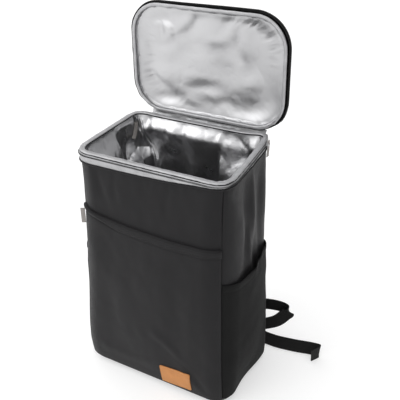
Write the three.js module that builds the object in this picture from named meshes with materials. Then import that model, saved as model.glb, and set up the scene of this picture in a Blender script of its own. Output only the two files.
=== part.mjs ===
// Cooler backpack standing open: a boxy padded bag with a zipped lid swung up behind its mouth.
// Units are millimetres, +Z is up, the front faces -Y, the wearer's side faces +Y.
// The origin is on the floor under the middle of the base.
import * as THREE from 'three';

// Main sizes of the bag
const bagWidth = 298;
const bagDepth = 200;
const rimHeight = 460;
const rimFall = 8;
const bodyCorner = 52;
const backDrawIn = 12;
const wallThickness = 5;
const baseThickness = 4;
const baseEdgeHeight = 14;
const baseEdgeInset = 14;
const gap = 0.3;
const layerGap = 0.7;

// Rim trim around the mouth
const bindingHeight = 4;
const bindingOverhang = 1.6;
const tapeHeight = 14;
const tapeThickness = 1.4;
const teethHeight = 3;
const teethThickness = 1.6;
const teethDrop = 1;
const pipingThickness = 3;

// Liner
const linerThickness = 1.2;
const linerFoldDepth = 12;

// Front pocket, its zip and the leather patch
const pocketThickness = 1.8;
const pocketBulge = 3;
const flapHeight = 15;
const flapThickness = 1.3;
const pocketZipHeight = 9;
const zipUnderFlap = 2;
const flapNarrowShare = 0.4;
const flapWidensFrom = 0.08;
const flapWidensTo = 0.32;
const patchWidth = 64;
const patchHeight = 40;
const patchThickness = 1.8;
const patchTilt = THREE.MathUtils.degToRad(3);
const patchPlace = 49;
const patchRise = 39;

// Side pockets
const sidePocketThickness = 1.6;
const sidePocketBulge = 8;
const sidePocketOpening = 13;
const bellyLift = 0.1;
const openingEnd = 0.86;

// Lid
const lidWidth = bagWidth + 4;
const lidLength = 198;
const lidCorner = bodyCorner + 5;
const lidWall = 20;
const lidCrown = 9;
const lidShellThickness = 2.4;
const lidPadding = 6;
const lidOpenAngle = THREE.MathUtils.degToRad(90);
const lidLift = 5;
const lidSetBack = 3;
const hingeWidth = 236;
const hingeThickness = 1.6;
const hingeFold = 6;
const hingeClearance = 0.6;
const lidEdgeRound = 4;
const lidLinerSet = 1;
const lidLinerWall = 1.5;
const shellInnerReach = 0.98;
const padRoofReach = 0.97;
const padFaceReach = 0.9;

// Zip sliders and ribbon pulls
const sliderLength = 12;
const sliderWidth = 8;
const sliderThickness = 3.4;
const pullWidth = 8;
const pullLength = 30;
const pullThickness = 1.2;
const pullSwing = 12;
const pocketPullDrop = 10;
const pocketPullShare = 0.012;
const pocketPullTurn = 0.4;
const rightPullSwing = 2;

// Shoulder straps, webbing and ladder locks
const strapWidth = 60;
const strapThickness = 10;
const strapBow = 52;
const webbingWidth = 25;
const webbingThickness = 1.6;
const lockThickness = 4;
const lockBar = 4;
const lockSlot = 7;
const anchorWidth = 34;
const anchorHeight = 28;
const anchorThickness = 2;
const haulLoopWidth = 22;
const haulLoopSpan = 84;
const haulLoopThickness = 2.4;
const haulLoopRise = 24;
const haulLoopPlace = 0.925;
const slotClearance = 1;
const lockSeat = 0.88;
const lockRun = { out: 0.80, behind: -0.10, up: -0.60 };

// Number of faces around each form
const arcSteps = 2;
const straightSteps = 6;
const wallRows = 9;

const front = 0;
const right = 1;
const back = 2;
const left = 3;
const quarterTurn = Math.PI / 2;

// Sections of the bag from the floor to the rim.
// Heights are shares of rimHeight, left and right of bagWidth, front and back of bagDepth,
// corner radii of bodyCorner.
const bodySections = [
  { height: 0.00, left: 0.550, right: 0.500, front: 0.498, back: 0.455, corner: 0.74 },
  { height: 0.08, left: 0.556, right: 0.502, front: 0.515, back: 0.465, corner: 0.74 },
  { height: 0.18, left: 0.550, right: 0.500, front: 0.518, back: 0.475, corner: 0.76 },
  { height: 0.34, left: 0.537, right: 0.498, front: 0.512, back: 0.485, corner: 0.84 },
  { height: 0.60, left: 0.522, right: 0.496, front: 0.502, back: 0.495, corner: 0.92 },
  { height: 0.80, left: 0.517, right: 0.498, front: 0.492, back: 0.500, corner: 0.92 },
  { height: 1.00, left: 0.506, right: 0.482, front: 0.446, back: 0.500, corner: 0.62 },
];

// Outward swell of each side at its middle, as shares of bagDepth
const sideSwell = { [front]: 0.022, [right]: 0.015, [back]: 0.015, [left]: 0.015 };

// Soft vertical folds of the outer cloth: place and width are shares along the side,
// depth is a share of wallThickness, low and high are shares of rimHeight.
const clothFolds = [
  { side: front, place: 0.22, width: 0.07, depth: -0.35, low: 0.10, high: 0.72 },
  { side: front, place: 0.80, width: 0.06, depth: 0.30, low: 0.05, high: 0.60 },
  { side: right, place: 0.36, width: 0.06, depth: -0.60, low: 0.52, high: 0.98 },
  { side: right, place: 0.52, width: 0.05, depth: 0.50, low: 0.55, high: 1.00 },
  { side: right, place: 0.70, width: 0.06, depth: -0.50, low: 0.50, high: 0.95 },
  { side: right, place: 0.42, width: 0.26, depth: -1.40, low: -0.30, high: 0.20 },
  { side: left, place: 0.35, width: 0.06, depth: -0.50, low: 0.52, high: 0.96 },
  { side: left, place: 0.64, width: 0.05, depth: 0.45, low: 0.50, high: 0.98 },
];

// Loose folds of the liner that stand into the hollow: depth is a share of linerFoldDepth
const linerFolds = [
  { side: front, place: 0.30, width: 0.05, depth: 0.5, low: 0.20, high: 0.95 },
  { side: front, place: 0.68, width: 0.06, depth: 0.6, low: 0.15, high: 0.90 },
  { side: right, place: 0.30, width: 0.06, depth: 0.7, low: 0.25, high: 0.92 },
  { side: right, place: 0.72, width: 0.05, depth: 0.9, low: 0.20, high: 0.90 },
  { side: back, place: 0.24, width: 0.05, depth: 0.9, low: 0.30, high: 0.94 },
  { side: back, place: 0.55, width: 0.06, depth: 0.7, low: 0.45, high: 0.96 },
  { side: back, place: 0.82, width: 0.04, depth: 1.0, low: 0.25, high: 0.90 },
  { side: left, place: 0.28, width: 0.04, depth: 1.0, low: 0.35, high: 0.97 },
  { side: left, place: 0.62, width: 0.06, depth: 0.8, low: 0.30, high: 0.95 },
];

// Line of the front pocket's zip: share along the front, height as a share of rimHeight
const pocketZipLine = [
  { share: 0.00, height: 0.762 },
  { share: 0.14, height: 0.748 },
  { share: 0.35, height: 0.734 },
  { share: 0.60, height: 0.727 },
  { share: 0.85, height: 0.724 },
  { share: 1.00, height: 0.724 },
];

// Hem of the side pockets from the front seam to the back seam, shares as above
const sidePocketHem = [
  { share: 0.00, height: 0.572 },
  { share: 0.20, height: 0.562 },
  { share: 0.42, height: 0.562 },
  { share: 0.62, height: 0.580 },
  { share: 0.80, height: 0.606 },
  { share: 1.00, height: 0.590 },
];

// Puffs of the lid's padding: places are shares of lidWidth and lidLength from the lid's
// middle, spread is a share of lidLength, height a share of lidPadding.
const lidPuffs = [
  { across: -0.24, along: 0.22, spread: 0.15, height: 0.9 },
  { across: 0.02, along: 0.26, spread: 0.16, height: 0.8 },
  { across: 0.26, along: 0.20, spread: 0.15, height: 0.5 },
  { across: -0.30, along: -0.08, spread: 0.13, height: 0.6 },
  { across: -0.06, along: -0.06, spread: 0.20, height: 0.9 },
  { across: 0.22, along: -0.14, spread: 0.18, height: 0.4 },
  { across: -0.18, along: -0.34, spread: 0.12, height: 0.4 },
  { across: 0.08, along: -0.36, spread: 0.13, height: 0.4 },
];

// Route of each shoulder strap down from its top seam: out is a share of half bagWidth,
// behind of strapBow, height of rimHeight, width of strapWidth.
const strapRoute = [
  { out: 0.29, behind: 0.00, height: 0.885, width: 0.86 },
  { out: 0.29, behind: 0.02, height: 0.840, width: 0.92 },
  { out: 0.30, behind: 0.36, height: 0.760, width: 1.00 },
  { out: 0.33, behind: 0.80, height: 0.620, width: 1.00 },
  { out: 0.37, behind: 1.00, height: 0.480, width: 0.98 },
  { out: 0.41, behind: 0.88, height: 0.360, width: 0.92 },
  { out: 0.45, behind: 0.62, height: 0.275, width: 0.72 },
  { out: 0.48, behind: 0.44, height: 0.235, width: 0.46 },
];

// Webbing from the lock round its fold to the anchor, in the same shares,
// with lean as the tip of the band's edge in degrees from upright
const webbingLoop = [
  { out: 0.90, behind: 0.46, height: 0.186, lean: 13 },
  { out: 1.10, behind: 0.40, height: 0.198, lean: 13 },
  { out: 1.19, behind: 0.36, height: 0.194, lean: 22 },
  { out: 1.205, behind: 0.31, height: 0.190, lean: 28 },
  { out: 1.17, behind: 0.26, height: 0.178, lean: 36 },
  { out: 1.05, behind: 0.20, height: 0.134, lean: 38 },
  { out: 0.88, behind: 0.10, height: 0.078, lean: 38 },
];

// Free tail of the webbing: out is a share of half bagWidth, behind of strapBow,
// height of webbingWidth, lean in degrees from upright about the band's run
const webbingTail = [
  { out: 0.760, behind: 0.66, height: 1.80, lean: 76 },
  { out: 0.740, behind: 0.56, height: 1.00, lean: 66 },
  { out: 0.800, behind: 0.40, height: 0.36, lean: 66 },
  { out: 1.000, behind: 0.30, height: 0.34, lean: 60 },
  { out: 1.300, behind: 0.36, height: 0.42, lean: 46 },
  { out: 1.550, behind: 0.48, height: 0.50, lean: 30 },
  { out: 1.650, behind: 0.50, height: 0.52, lean: 22 },
  { out: 1.662, behind: 0.42, height: 0.53, lean: 12 },
  { out: 1.600, behind: 0.05, height: 0.53, lean: 6 },
];

const { lerp, smoothstep, degToRad } = THREE.MathUtils;

// Value of one column of a table at a given place, straight between its rows
function tableValue(table, key, place, column) {
  const last = table.length - 1;
  if (place <= table[0][key]) return table[0][column];
  if (place >= table[last][key]) return table[last][column];
  const next = table.findIndex((row) => row[key] > place);
  const [below, above] = [table[next - 1], table[next]];
  return lerp(below[column], above[column], (place - below[key]) / (above[key] - below[key]));
}

function sectionAt(height) {
  const share = height / rimHeight;
  const value = (column) => tableValue(bodySections, 'height', share, column);
  return {
    left: value('left') * bagWidth,
    right: value('right') * bagWidth,
    front: value('front') * bagDepth,
    back: value('back') * bagDepth,
    corner: value('corner') * bodyCorner,
  };
}

// Centre of a section's corner: number 0 is front left, then on through front right
function cornerCentre(section, number) {
  const onRight = number % 4 === 1 || number % 4 === 2;
  const onBack = number % 4 >= 2;
  const x = onRight ? section.right - section.corner : section.corner - section.left;
  const y = onBack ? section.back - section.corner : section.corner - section.front;
  return new THREE.Vector2(x, y);
}

// Point of a rounded outline. The share runs along one side, from the middle of one
// corner's arc to the middle of the next, and outward is measured square to the outline.
function outlinePoint(section, side, share, outward) {
  const from = cornerCentre(section, side);
  const to = cornerCentre(section, side + 1);
  const arc = section.corner * quarterTurn / 2;
  const straight = from.distanceTo(to);
  const along = share * (2 * arc + straight);
  const facing = (side - 1) * quarterTurn;
  let angle = facing;
  let centre = from.clone().lerp(to, (along - arc) / straight);
  if (along < arc) {
    angle = facing - (arc - along) / section.corner;
    centre = from;
  } else if (along > arc + straight) {
    angle = facing + (along - arc - straight) / section.corner;
    centre = to;
  }
  const reach = section.corner + outward;
  return new THREE.Vector2(centre.x + reach * Math.cos(angle), centre.y + reach * Math.sin(angle));
}

// Length of one side of a section between the middles of its corner arcs
function sideLength(section, side) {
  const straight = cornerCentre(section, side).distanceTo(cornerCentre(section, side + 1));
  return straight + section.corner * quarterTurn;
}

function foldOffset(folds, side, share, heightShare, depth) {
  let offset = 0;
  for (const fold of folds) {
    if (fold.side !== side) continue;
    const across = Math.exp(-(((share - fold.place) / fold.width) ** 2));
    const fade = (fold.high - fold.low) / 3;
    const lowEnd = smoothstep(heightShare, fold.low, fold.low + fade);
    const highEnd = 1 - smoothstep(heightShare, fold.high - fade, fold.high);
    offset += fold.depth * depth * across * lowEnd * highEnd;
  }
  return offset;
}

// Point of the bag's outer face, or of a layer that lies outward of it
function bagPoint(side, share, height, outward = 0) {
  const heightShare = Math.min(height / rimHeight, 1);
  const swell = sideSwell[side] * bagDepth * Math.sin(Math.PI * share) ** 2 * Math.sin(Math.PI * heightShare);
  const folds = foldOffset(clothFolds, side, share, heightShare, wallThickness);
  const section = sectionAt(height);
  const point = outlinePoint(section, side, share, outward + swell + folds);
  const rightShare = Math.max(point.x / section.right, 0);
  const backShare = smoothstep(point.y, -section.front, section.back);
  return new THREE.Vector3(point.x - backDrawIn * rightShare * backShare * heightShare, point.y, height);
}

// Height of the rim, which falls from the back to the front
function rimAt(side, share) {
  const forward = { [front]: 1, [right]: 1 - share, [back]: 0, [left]: share };
  return rimHeight - rimFall * forward[side];
}

// Shares of a side where its columns of faces stand
function sideShares(section, side) {
  const length = sideLength(section, side);
  const arcShare = section.corner * quarterTurn / 2 / length;
  const shares = [];
  for (let i = 0; i < arcSteps; i++) shares.push(arcShare * i / arcSteps);
  for (let i = 0; i < straightSteps; i++) shares.push(lerp(arcShare, 1 - arcShare, i / straightSteps));
  for (let i = 0; i <= arcSteps; i++) shares.push(1 - arcShare + arcShare * i / arcSteps);
  return shares;
}

function middleShares(side) {
  return sideShares(sectionAt(rimHeight / 2), side);
}

// Closed solid with its faces turned outward
function solid(positions, faces) {
  let volume = 0;
  for (const [a, b, c] of faces) {
    volume += positions[a].dot(positions[b].clone().cross(positions[c]));
  }
  const turned = volume < 0 ? faces.map(([a, b, c]) => [a, c, b]) : faces;
  const geometry = new THREE.BufferGeometry();
  geometry.setAttribute('position', new THREE.Float32BufferAttribute(positions.flatMap((p) => p.toArray()), 3));
  geometry.setIndex(turned.flat());
  geometry.computeVertexNormals();
  return geometry;
}

function quad(a, b, c, d) {
  return [[a, b, c], [a, c, d]];
}

// Sheet with thickness, between an outer and an inner grid of the same size
function sheetSolid(outer, inner) {
  const rows = outer.length;
  const columns = outer[0].length;
  const positions = [...outer.flat(), ...inner.flat()];
  const out = (row, column) => row * columns + column;
  const within = (row, column) => rows * columns + out(row, column);
  const faces = [];
  for (let r = 0; r + 1 < rows; r++) {
    for (let c = 0; c + 1 < columns; c++) {
      faces.push(...quad(out(r, c), out(r, c + 1), out(r + 1, c + 1), out(r + 1, c)));
      faces.push(...quad(within(r, c), within(r + 1, c), within(r + 1, c + 1), within(r, c + 1)));
    }
    faces.push(...quad(out(r, 0), out(r + 1, 0), within(r + 1, 0), within(r, 0)));
    const end = columns - 1;
    faces.push(...quad(out(r, end), within(r, end), within(r + 1, end), out(r + 1, end)));
  }
  for (let c = 0; c + 1 < columns; c++) {
    faces.push(...quad(out(0, c), within(0, c), within(0, c + 1), out(0, c + 1)));
    const top = rows - 1;
    faces.push(...quad(out(top, c), out(top, c + 1), within(top, c + 1), within(top, c)));
  }
  return solid(positions, faces);
}

// Open vessel: outer and inner stacks of rings, each from its floor to the rim
function vesselSolid(outerRings, innerRings) {
  const rings = [...outerRings, ...[...innerRings].reverse()];
  const count = rings[0].length;
  const positions = rings.flat();
  const at = (ring, i) => ring * count + i % count;
  const faces = [];
  for (let ring = 0; ring + 1 < rings.length; ring++) {
    for (let i = 0; i < count; i++) {
      faces.push(...quad(at(ring, i), at(ring, i + 1), at(ring + 1, i + 1), at(ring + 1, i)));
    }
  }
  const middle = (ring) => ring.reduce((sum, p) => sum.add(p), new THREE.Vector3()).divideScalar(count);
  const lastRing = rings.length - 1;
  const outerMiddle = positions.push(middle(rings[0])) - 1;
  const innerMiddle = positions.push(middle(rings[lastRing])) - 1;
  for (let i = 0; i < count; i++) {
    faces.push([outerMiddle, at(0, i + 1), at(0, i)]);
    faces.push([innerMiddle, at(lastRing, i), at(lastRing, i + 1)]);
  }
  return solid(positions, faces);
}

// Solid swept through small convex sections along a run, open with end caps or closed
function sweepSolid(sections, closed) {
  const count = sections[0].length;
  const positions = sections.flat();
  const at = (section, i) => (section % sections.length) * count + i % count;
  const faces = [];
  const spans = closed ? sections.length : sections.length - 1;
  for (let s = 0; s < spans; s++) {
    for (let i = 0; i < count; i++) {
      faces.push(...quad(at(s, i), at(s, i + 1), at(s + 1, i + 1), at(s + 1, i)));
    }
  }
  if (!closed) {
    const last = sections.length - 1;
    for (let i = 1; i + 1 < count; i++) {
      faces.push([at(0, 0), at(0, i + 1), at(0, i)]);
      faces.push([at(last, 0), at(last, i), at(last, i + 1)]);
    }
  }
  return solid(positions, faces);
}

// Band of webbing, ribbon or padding through a run of points. Each row holds a point,
// the direction across the band, and its width and thickness.
function bandSolid(rows, stepsPerSpan, roundness = 0) {
  const curve = new THREE.CatmullRomCurve3(rows.map((row) => row.point), false, 'centripetal');
  const spans = rows.length - 1;
  const sections = [];
  for (let i = 0; i <= spans * stepsPerSpan; i++) {
    const place = i / stepsPerSpan;
    const row = Math.min(Math.floor(place), spans - 1);
    const part = place - row;
    const [a, b] = [rows[row], rows[row + 1]];
    const centre = curve.getPoint(place / spans);
    const run = curve.getTangent(place / spans);
    const across = a.across.clone().lerp(b.across, part);
    across.addScaledVector(run, -across.dot(run)).normalize();
    const normal = run.clone().cross(across);
    const halfWidth = lerp(a.width, b.width, part) / 2;
    const halfThickness = lerp(a.thickness, b.thickness, part) / 2;
    sections.push(bandSection(centre, across, normal, halfWidth, halfThickness, roundness));
  }
  return sweepSolid(sections, false);
}

function bandSection(centre, across, normal, halfWidth, halfThickness, roundness) {
  const at = (u, v) => centre.clone().addScaledVector(across, u).addScaledVector(normal, v);
  if (roundness === 0) {
    return [
      at(-halfWidth, -halfThickness), at(halfWidth, -halfThickness),
      at(halfWidth, halfThickness), at(-halfWidth, halfThickness),
    ];
  }
  const flat = halfWidth - roundness * halfThickness;
  return [
    at(-flat, -halfThickness), at(flat, -halfThickness),
    at(halfWidth, -halfThickness / 3), at(halfWidth, halfThickness / 3),
    at(flat, halfThickness), at(-flat, halfThickness),
    at(-halfWidth, halfThickness / 3), at(-halfWidth, -halfThickness / 3),
  ];
}

// Layer of cloth on one side of the bag, between two heights given along that side
function layerOnSide({ side, shares, low, high, rows, outward, thickness }) {
  const grid = (offset) => {
    const levels = [];
    for (let r = 0; r <= rows; r++) {
      levels.push(shares.map((share) => {
        const height = lerp(low(share), high(share), r / rows);
        return bagPoint(side, share, height, outward(share, r / rows) + offset);
      }));
    }
    return levels;
  };
  return sheetSolid(grid(thickness), grid(0));
}

// Shares of a side with its two ends drawn back from the corner seams
function seamShares(side, drawBack) {
  const shares = middleShares(side);
  const end = drawBack / sideLength(sectionAt(rimHeight / 2), side);
  shares[0] = end;
  shares[shares.length - 1] = 1 - end;
  return shares;
}

// Full ring around the bag at a depth below the rim, or at one height
function ringBelowRim(depth, outward) {
  const ring = [];
  for (const side of [front, right, back, left]) {
    for (const share of middleShares(side).slice(0, -1)) {
      ring.push(bagPoint(side, share, rimAt(side, share) - depth, outward));
    }
  }
  return ring;
}

function ringAtHeight(height, outward) {
  const ring = [];
  for (const side of [front, right, back, left]) {
    for (const share of middleShares(side).slice(0, -1)) {
      ring.push(bagPoint(side, share, height, outward(side, share)));
    }
  }
  return ring;
}

// Band around the mouth with a rectangular section, given its depths below the rim
function mouthRing(topDepth, bottomDepth, inner, outer) {
  const corners = [
    ringBelowRim(bottomDepth, inner), ringBelowRim(bottomDepth, outer),
    ringBelowRim(topDepth, outer), ringBelowRim(topDepth, inner),
  ];
  const sections = corners[0].map((_, i) => corners.map((ring) => ring[i]));
  return sweepSolid(sections, true);
}

const wallTopDepth = bindingHeight;
const teethDepth = bindingHeight + 2 * gap + teethDrop;
const zipEndShare = 0.87;
const leftSliderShare = 0.04;
const tapeBottomDepth = bindingHeight + gap + tapeHeight;
const baseTop = baseEdgeHeight + gap;

function wallPanel(side) {
  return layerOnSide({
    side,
    shares: seamShares(side, gap / 2),
    low: () => baseTop,
    high: (share) => rimAt(side, share) - wallTopDepth - gap,
    rows: wallRows,
    outward: () => -wallThickness,
    thickness: wallThickness,
  });
}

// Base: a padded tray whose edge rolls up to meet the walls
function basePanel() {
  const roll = [0, 0.14, 0.42, 1];
  const outer = roll.map((rise) => {
    const inset = baseEdgeInset * (1 - Math.sqrt(1 - (1 - rise) ** 2));
    return ringAtHeight(baseEdgeHeight * rise, () => -inset);
  });
  const inner = [0, 0.5, 1].map((rise) => {
    const inset = baseThickness + (baseEdgeInset - baseThickness) * (1 - rise) ** 2;
    return ringAtHeight(lerp(baseThickness, baseEdgeHeight, rise), () => -inset);
  });
  return vesselSolid(outer, inner);
}

// Liner: a thin foil vessel with loose folds inside the padded walls
function liner() {
  const rows = 8;
  const floor = baseThickness + layerGap;
  const top = (side, share) => rimAt(side, share) - wallTopDepth - gap;
  const stack = (depth) => {
    const rings = [];
    for (let r = 0; r <= rows; r++) {
      const ring = [];
      for (const side of [front, right, back, left]) {
        for (const share of middleShares(side).slice(0, -1)) {
          const height = lerp(floor + depth, top(side, share), r / rows);
          const fold = foldOffset(linerFolds, side, share, height / rimHeight, linerFoldDepth);
          const toe = baseEdgeInset * (1 - smoothstep(height, 0, baseEdgeHeight * 2));
          const inset = wallThickness + layerGap + toe + fold + depth;
          ring.push(bagPoint(side, share, height, -inset));
        }
      }
      rings.push(ring);
    }
    return rings;
  };
  return vesselSolid(stack(0), stack(linerThickness));
}

// Rim trim: binding over the edge, zip tape outside it, teeth on the tape, piping below
function mouthBinding() {
  const inner = -(wallThickness + layerGap + linerThickness + bindingOverhang);
  return mouthRing(0, bindingHeight, inner, bindingOverhang);
}

function mouthZipTape() {
  return mouthRing(bindingHeight + gap, tapeBottomDepth, layerGap, layerGap + tapeThickness);
}

function mouthPiping() {
  const top = tapeBottomDepth + gap;
  return mouthRing(top, top + pipingThickness, layerGap, layerGap + pipingThickness);
}

// Zip teeth round the left side, the front and the right side, open along the hinge
function mouthZipTeeth() {
  const inner = layerGap + tapeThickness + gap;
  const stations = [{ side: left, share: 1 - zipEndShare }];
  for (const side of [left, front, right]) {
    const [low, high] = { [left]: [1 - zipEndShare, 1], [front]: [-1, 1], [right]: [-1, zipEndShare] }[side];
    for (const share of middleShares(side).filter((value) => value > low && value < high)) {
      stations.push({ side, share });
    }
  }
  stations.push({ side: right, share: zipEndShare });
  const sections = stations.map(({ side, share }) => {
    const top = rimAt(side, share) - teethDepth;
    const bottom = top - teethHeight;
    return [
      bagPoint(side, share, bottom, inner), bagPoint(side, share, bottom, inner + teethThickness),
      bagPoint(side, share, top, inner + teethThickness), bagPoint(side, share, top, inner),
    ];
  });
  return sweepSolid(sections, false);
}

// Front pocket: cloth over the lower front, its zip and the flap that hides the zip
function zipLineHeight(share) {
  return tableValue(pocketZipLine, 'share', share, 'height') * rimHeight;
}

function flapReach(share) {
  return flapHeight * lerp(flapNarrowShare, 1, smoothstep(share, flapWidensFrom, flapWidensTo));
}

function frontPocket() {
  const hollow = (share, rise) => pocketBulge * Math.sin(Math.PI * share) * Math.sin(Math.PI * rise);
  return layerOnSide({
    side: front,
    shares: seamShares(front, gap),
    low: () => baseTop,
    high: (share) => zipLineHeight(share) - pocketZipHeight - gap,
    rows: 7,
    outward: (share, rise) => layerGap + hollow(share, rise),
    thickness: pocketThickness,
  });
}

function pocketZip() {
  return layerOnSide({
    side: front,
    shares: seamShares(front, gap),
    low: (share) => zipLineHeight(share) - pocketZipHeight,
    high: (share) => zipLineHeight(share) - zipUnderFlap,
    rows: 1,
    outward: () => layerGap,
    thickness: pocketThickness - gap,
  });
}

function pocketZipFlap() {
  return layerOnSide({
    side: front,
    shares: seamShares(front, gap),
    low: (share) => zipLineHeight(share) - flapReach(share),
    high: (share) => zipLineHeight(share),
    rows: 2,
    outward: () => layerGap + pocketThickness + layerGap,
    thickness: flapThickness,
  });
}

function sidePocket(side) {
  const shareFromFront = (share) => (side === right ? share : 1 - share);
  const bulge = (share, rise) => {
    const belly = sidePocketBulge * Math.sin(Math.PI * share) * Math.sin(Math.PI * Math.min(rise + bellyLift, 1));
    const mouth = sidePocketOpening * Math.sin(Math.PI * Math.min(shareFromFront(share) / openingEnd, 1)) * rise ** 3;
    return belly + mouth;
  };
  return layerOnSide({
    side,
    shares: seamShares(side, gap),
    low: () => baseTop,
    high: (share) => tableValue(sidePocketHem, 'share', shareFromFront(share), 'height') * rimHeight,
    rows: 7,
    outward: (share, rise) => layerGap + bulge(share, rise),
    thickness: sidePocketThickness,
  });
}

// Leather patch low on the front pocket, sewn on with a slight tilt
function leatherPatch() {
  const columns = 6;
  const rows = 4;
  const grid = (outward) => {
    const levels = [];
    for (let r = 0; r <= rows; r++) {
      const level = [];
      for (let c = 0; c <= columns; c++) {
        const u = (c / columns - 0.5) * patchWidth;
        const v = (r / rows - 0.5) * patchHeight;
        const x = patchPlace + u * Math.cos(patchTilt) - v * Math.sin(patchTilt);
        const height = patchRise + u * Math.sin(patchTilt) + v * Math.cos(patchTilt);
        level.push(frontPocketPoint(x, height, outward));
      }
      levels.push(level);
    }
    return levels;
  };
  return sheetSolid(grid(gap + patchThickness), grid(gap));
}

// Point on the front pocket's outer face for a given x on its straight part
function frontPocketPoint(x, height, outward) {
  const section = sectionAt(height);
  const from = cornerCentre(section, front);
  const arc = section.corner * quarterTurn / 2;
  const share = (arc + x - from.x) / sideLength(section, front);
  const top = zipLineHeight(share) - pocketZipHeight - gap;
  const rise = Math.max((height - baseTop) / (top - baseTop), 0);
  const hollow = pocketBulge * Math.sin(Math.PI * share) * Math.sin(Math.PI * rise);
  return bagPoint(front, share, height, layerGap + hollow + pocketThickness + outward);
}

// Lid, modelled shut over the mouth: its hinge side is at y = 0 and it reaches to -Y,
// its rim is at z = 0 and its top at lidWall and above.
const lidSection = {
  left: lidWidth / 2,
  right: lidWidth / 2,
  front: lidLength,
  back: 0,
  corner: lidCorner,
};

function lidRing(height, outward) {
  const ring = [];
  for (const side of [front, right, back, left]) {
    for (const share of sideShares(lidSection, side).slice(0, -1)) {
      const point = outlinePoint(lidSection, side, share, outward);
      ring.push(new THREE.Vector3(point.x, point.y, height));
    }
  }
  return ring;
}

// Ring drawn in towards the lid's middle by a share, for the crowned top
function lidCrownRing(inset, reach, height) {
  const middle = new THREE.Vector3(0, -lidLength / 2, 0);
  return lidRing(0, -inset).map((p) => {
    const point = p.clone().sub(middle).multiplyScalar(reach).add(middle);
    point.z = height(point.x / lidWidth, (point.y - middle.y) / lidLength);
    return point;
  });
}

function crownHeight(across, along) {
  return lidCrown * Math.cos(Math.PI * across) * Math.cos(Math.PI * along);
}

const lidTapeTop = tapeHeight;
const crownReach = [0.35, 0.7, 1];

function lidShell() {
  const top = (across, along) => lidWall + crownHeight(across, along);
  const under = (across, along) => top(across, along) - lidShellThickness;
  const shoulder = lidWall - lidEdgeRound / 2;
  const outer = [
    ...crownReach.map((reach) => lidCrownRing(lidEdgeRound, reach, top)),
    lidRing(shoulder, -lidEdgeRound / 4),
    lidRing(lidTapeTop + gap, 0),
  ];
  const inner = [
    ...crownReach.map((reach) => lidCrownRing(lidEdgeRound, shellInnerReach * reach, under)),
    lidRing(shoulder - lidShellThickness, -lidShellThickness - lidEdgeRound / 4),
    lidRing(lidTapeTop + gap, -lidShellThickness),
  ];
  return vesselSolid(outer, inner);
}

function lidLiner() {
  const roof = (across, along) => lidWall + crownHeight(across, along) - lidShellThickness - layerGap;
  const puff = (across, along) => lidPuffs.reduce((sum, row) => {
    const distance = Math.hypot((across - row.across) * lidWidth, (along - row.along) * lidLength);
    return sum + row.height * lidPadding * Math.exp(-((distance / (row.spread * lidLength)) ** 2));
  }, 0);
  const under = (across, along) => roof(across, along) - lidPadding - puff(across, along);
  const side = lidShellThickness + layerGap + lidLinerSet;
  const corner = side + lidEdgeRound;
  const outer = [
    ...crownReach.map((reach) => lidCrownRing(corner, padRoofReach * reach, roof)),
    lidRing(lidTapeTop, -side),
    lidRing(bindingHeight, -side),
  ];
  const inner = [
    ...crownReach.map((reach) => lidCrownRing(corner, padFaceReach * reach, under)),
    lidRing(lidTapeTop - lidPadding, -side - lidLinerWall),
    lidRing(bindingHeight, -side - lidLinerWall),
  ];
  return vesselSolid(outer, inner);
}

function lidRimRing(low, high, inner, outer) {
  const corners = [lidRing(low, inner), lidRing(low, outer), lidRing(high, outer), lidRing(high, inner)];
  return sweepSolid(corners[0].map((_, i) => corners.map((ring) => ring[i])), true);
}

function lidZipTape() {
  return lidRimRing(bindingHeight + gap, lidTapeTop, -tapeThickness, 0);
}

function lidBinding() {
  const inner = -(lidShellThickness + layerGap + lidLinerSet + lidLinerWall);
  return lidRimRing(0, bindingHeight - gap, inner, bindingOverhang / 2);
}

function lidPiping() {
  return lidRimRing(lidTapeTop - pipingThickness / 2, lidTapeTop + pipingThickness / 2, gap, gap + pipingThickness);
}

// Hinge: a strip of cloth from the bag's back rim to the underside of the lid's wall
function lidHinge() {
  const backFace = hingeY() - lidSetBack + tapeThickness + 2 * layerGap;
  const lidUnderside = rimHeight + lidLift - gap;
  const path = [
    { y: backFace, z: rimHeight - tapeBottomDepth },
    { y: backFace + gap, z: rimHeight - bindingHeight },
    { y: backFace + bindingOverhang + hingeClearance, z: rimHeight + hingeClearance },
    { y: backFace + hingeFold, z: lidUnderside - hingeThickness },
    { y: backFace + lidTapeTop - 2 * pipingThickness, z: lidUnderside - hingeThickness },
  ];
  const rows = path.map(({ y, z }) => ({
    point: new THREE.Vector3(0, y + hingeThickness / 2, z + hingeThickness / 2),
    across: new THREE.Vector3(1, 0, 0),
    width: hingeWidth,
    thickness: hingeThickness,
  }));
  return bandSolid(rows, 1);
}

function hingeY() {
  return bagPoint(back, 0.5, rimHeight).y + lidSetBack;
}

// Zip slider: a small wedge that lies along one direction with its back to another
function zipSlider(centre, along, outward) {
  const half = sliderWidth / 2;
  const shape = new THREE.Shape();
  shape.moveTo(-half, -sliderLength / 2);
  shape.lineTo(half, -sliderLength / 2);
  shape.lineTo(0.6 * half, sliderLength / 2);
  shape.lineTo(-0.6 * half, sliderLength / 2);
  shape.closePath();
  const geometry = new THREE.ExtrudeGeometry(shape, { depth: sliderThickness, bevelEnabled: false });
  const place = new THREE.Matrix4().makeBasis(along.clone().cross(outward), along, outward);
  place.setPosition(centre);
  geometry.applyMatrix4(place);
  return geometry;
}

// Ribbon pull that hangs from a point and swings off at its lower end
function ribbonPull(start, swing, across) {
  const rows = [0, 0.3, 0.65, 1].map((share) => ({
    point: start.clone().add(new THREE.Vector3(0, 0, -pullLength * share)).addScaledVector(swing, share ** 2),
    across,
    width: pullWidth,
    thickness: pullThickness,
  }));
  return bandSolid(rows, 1);
}

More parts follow.
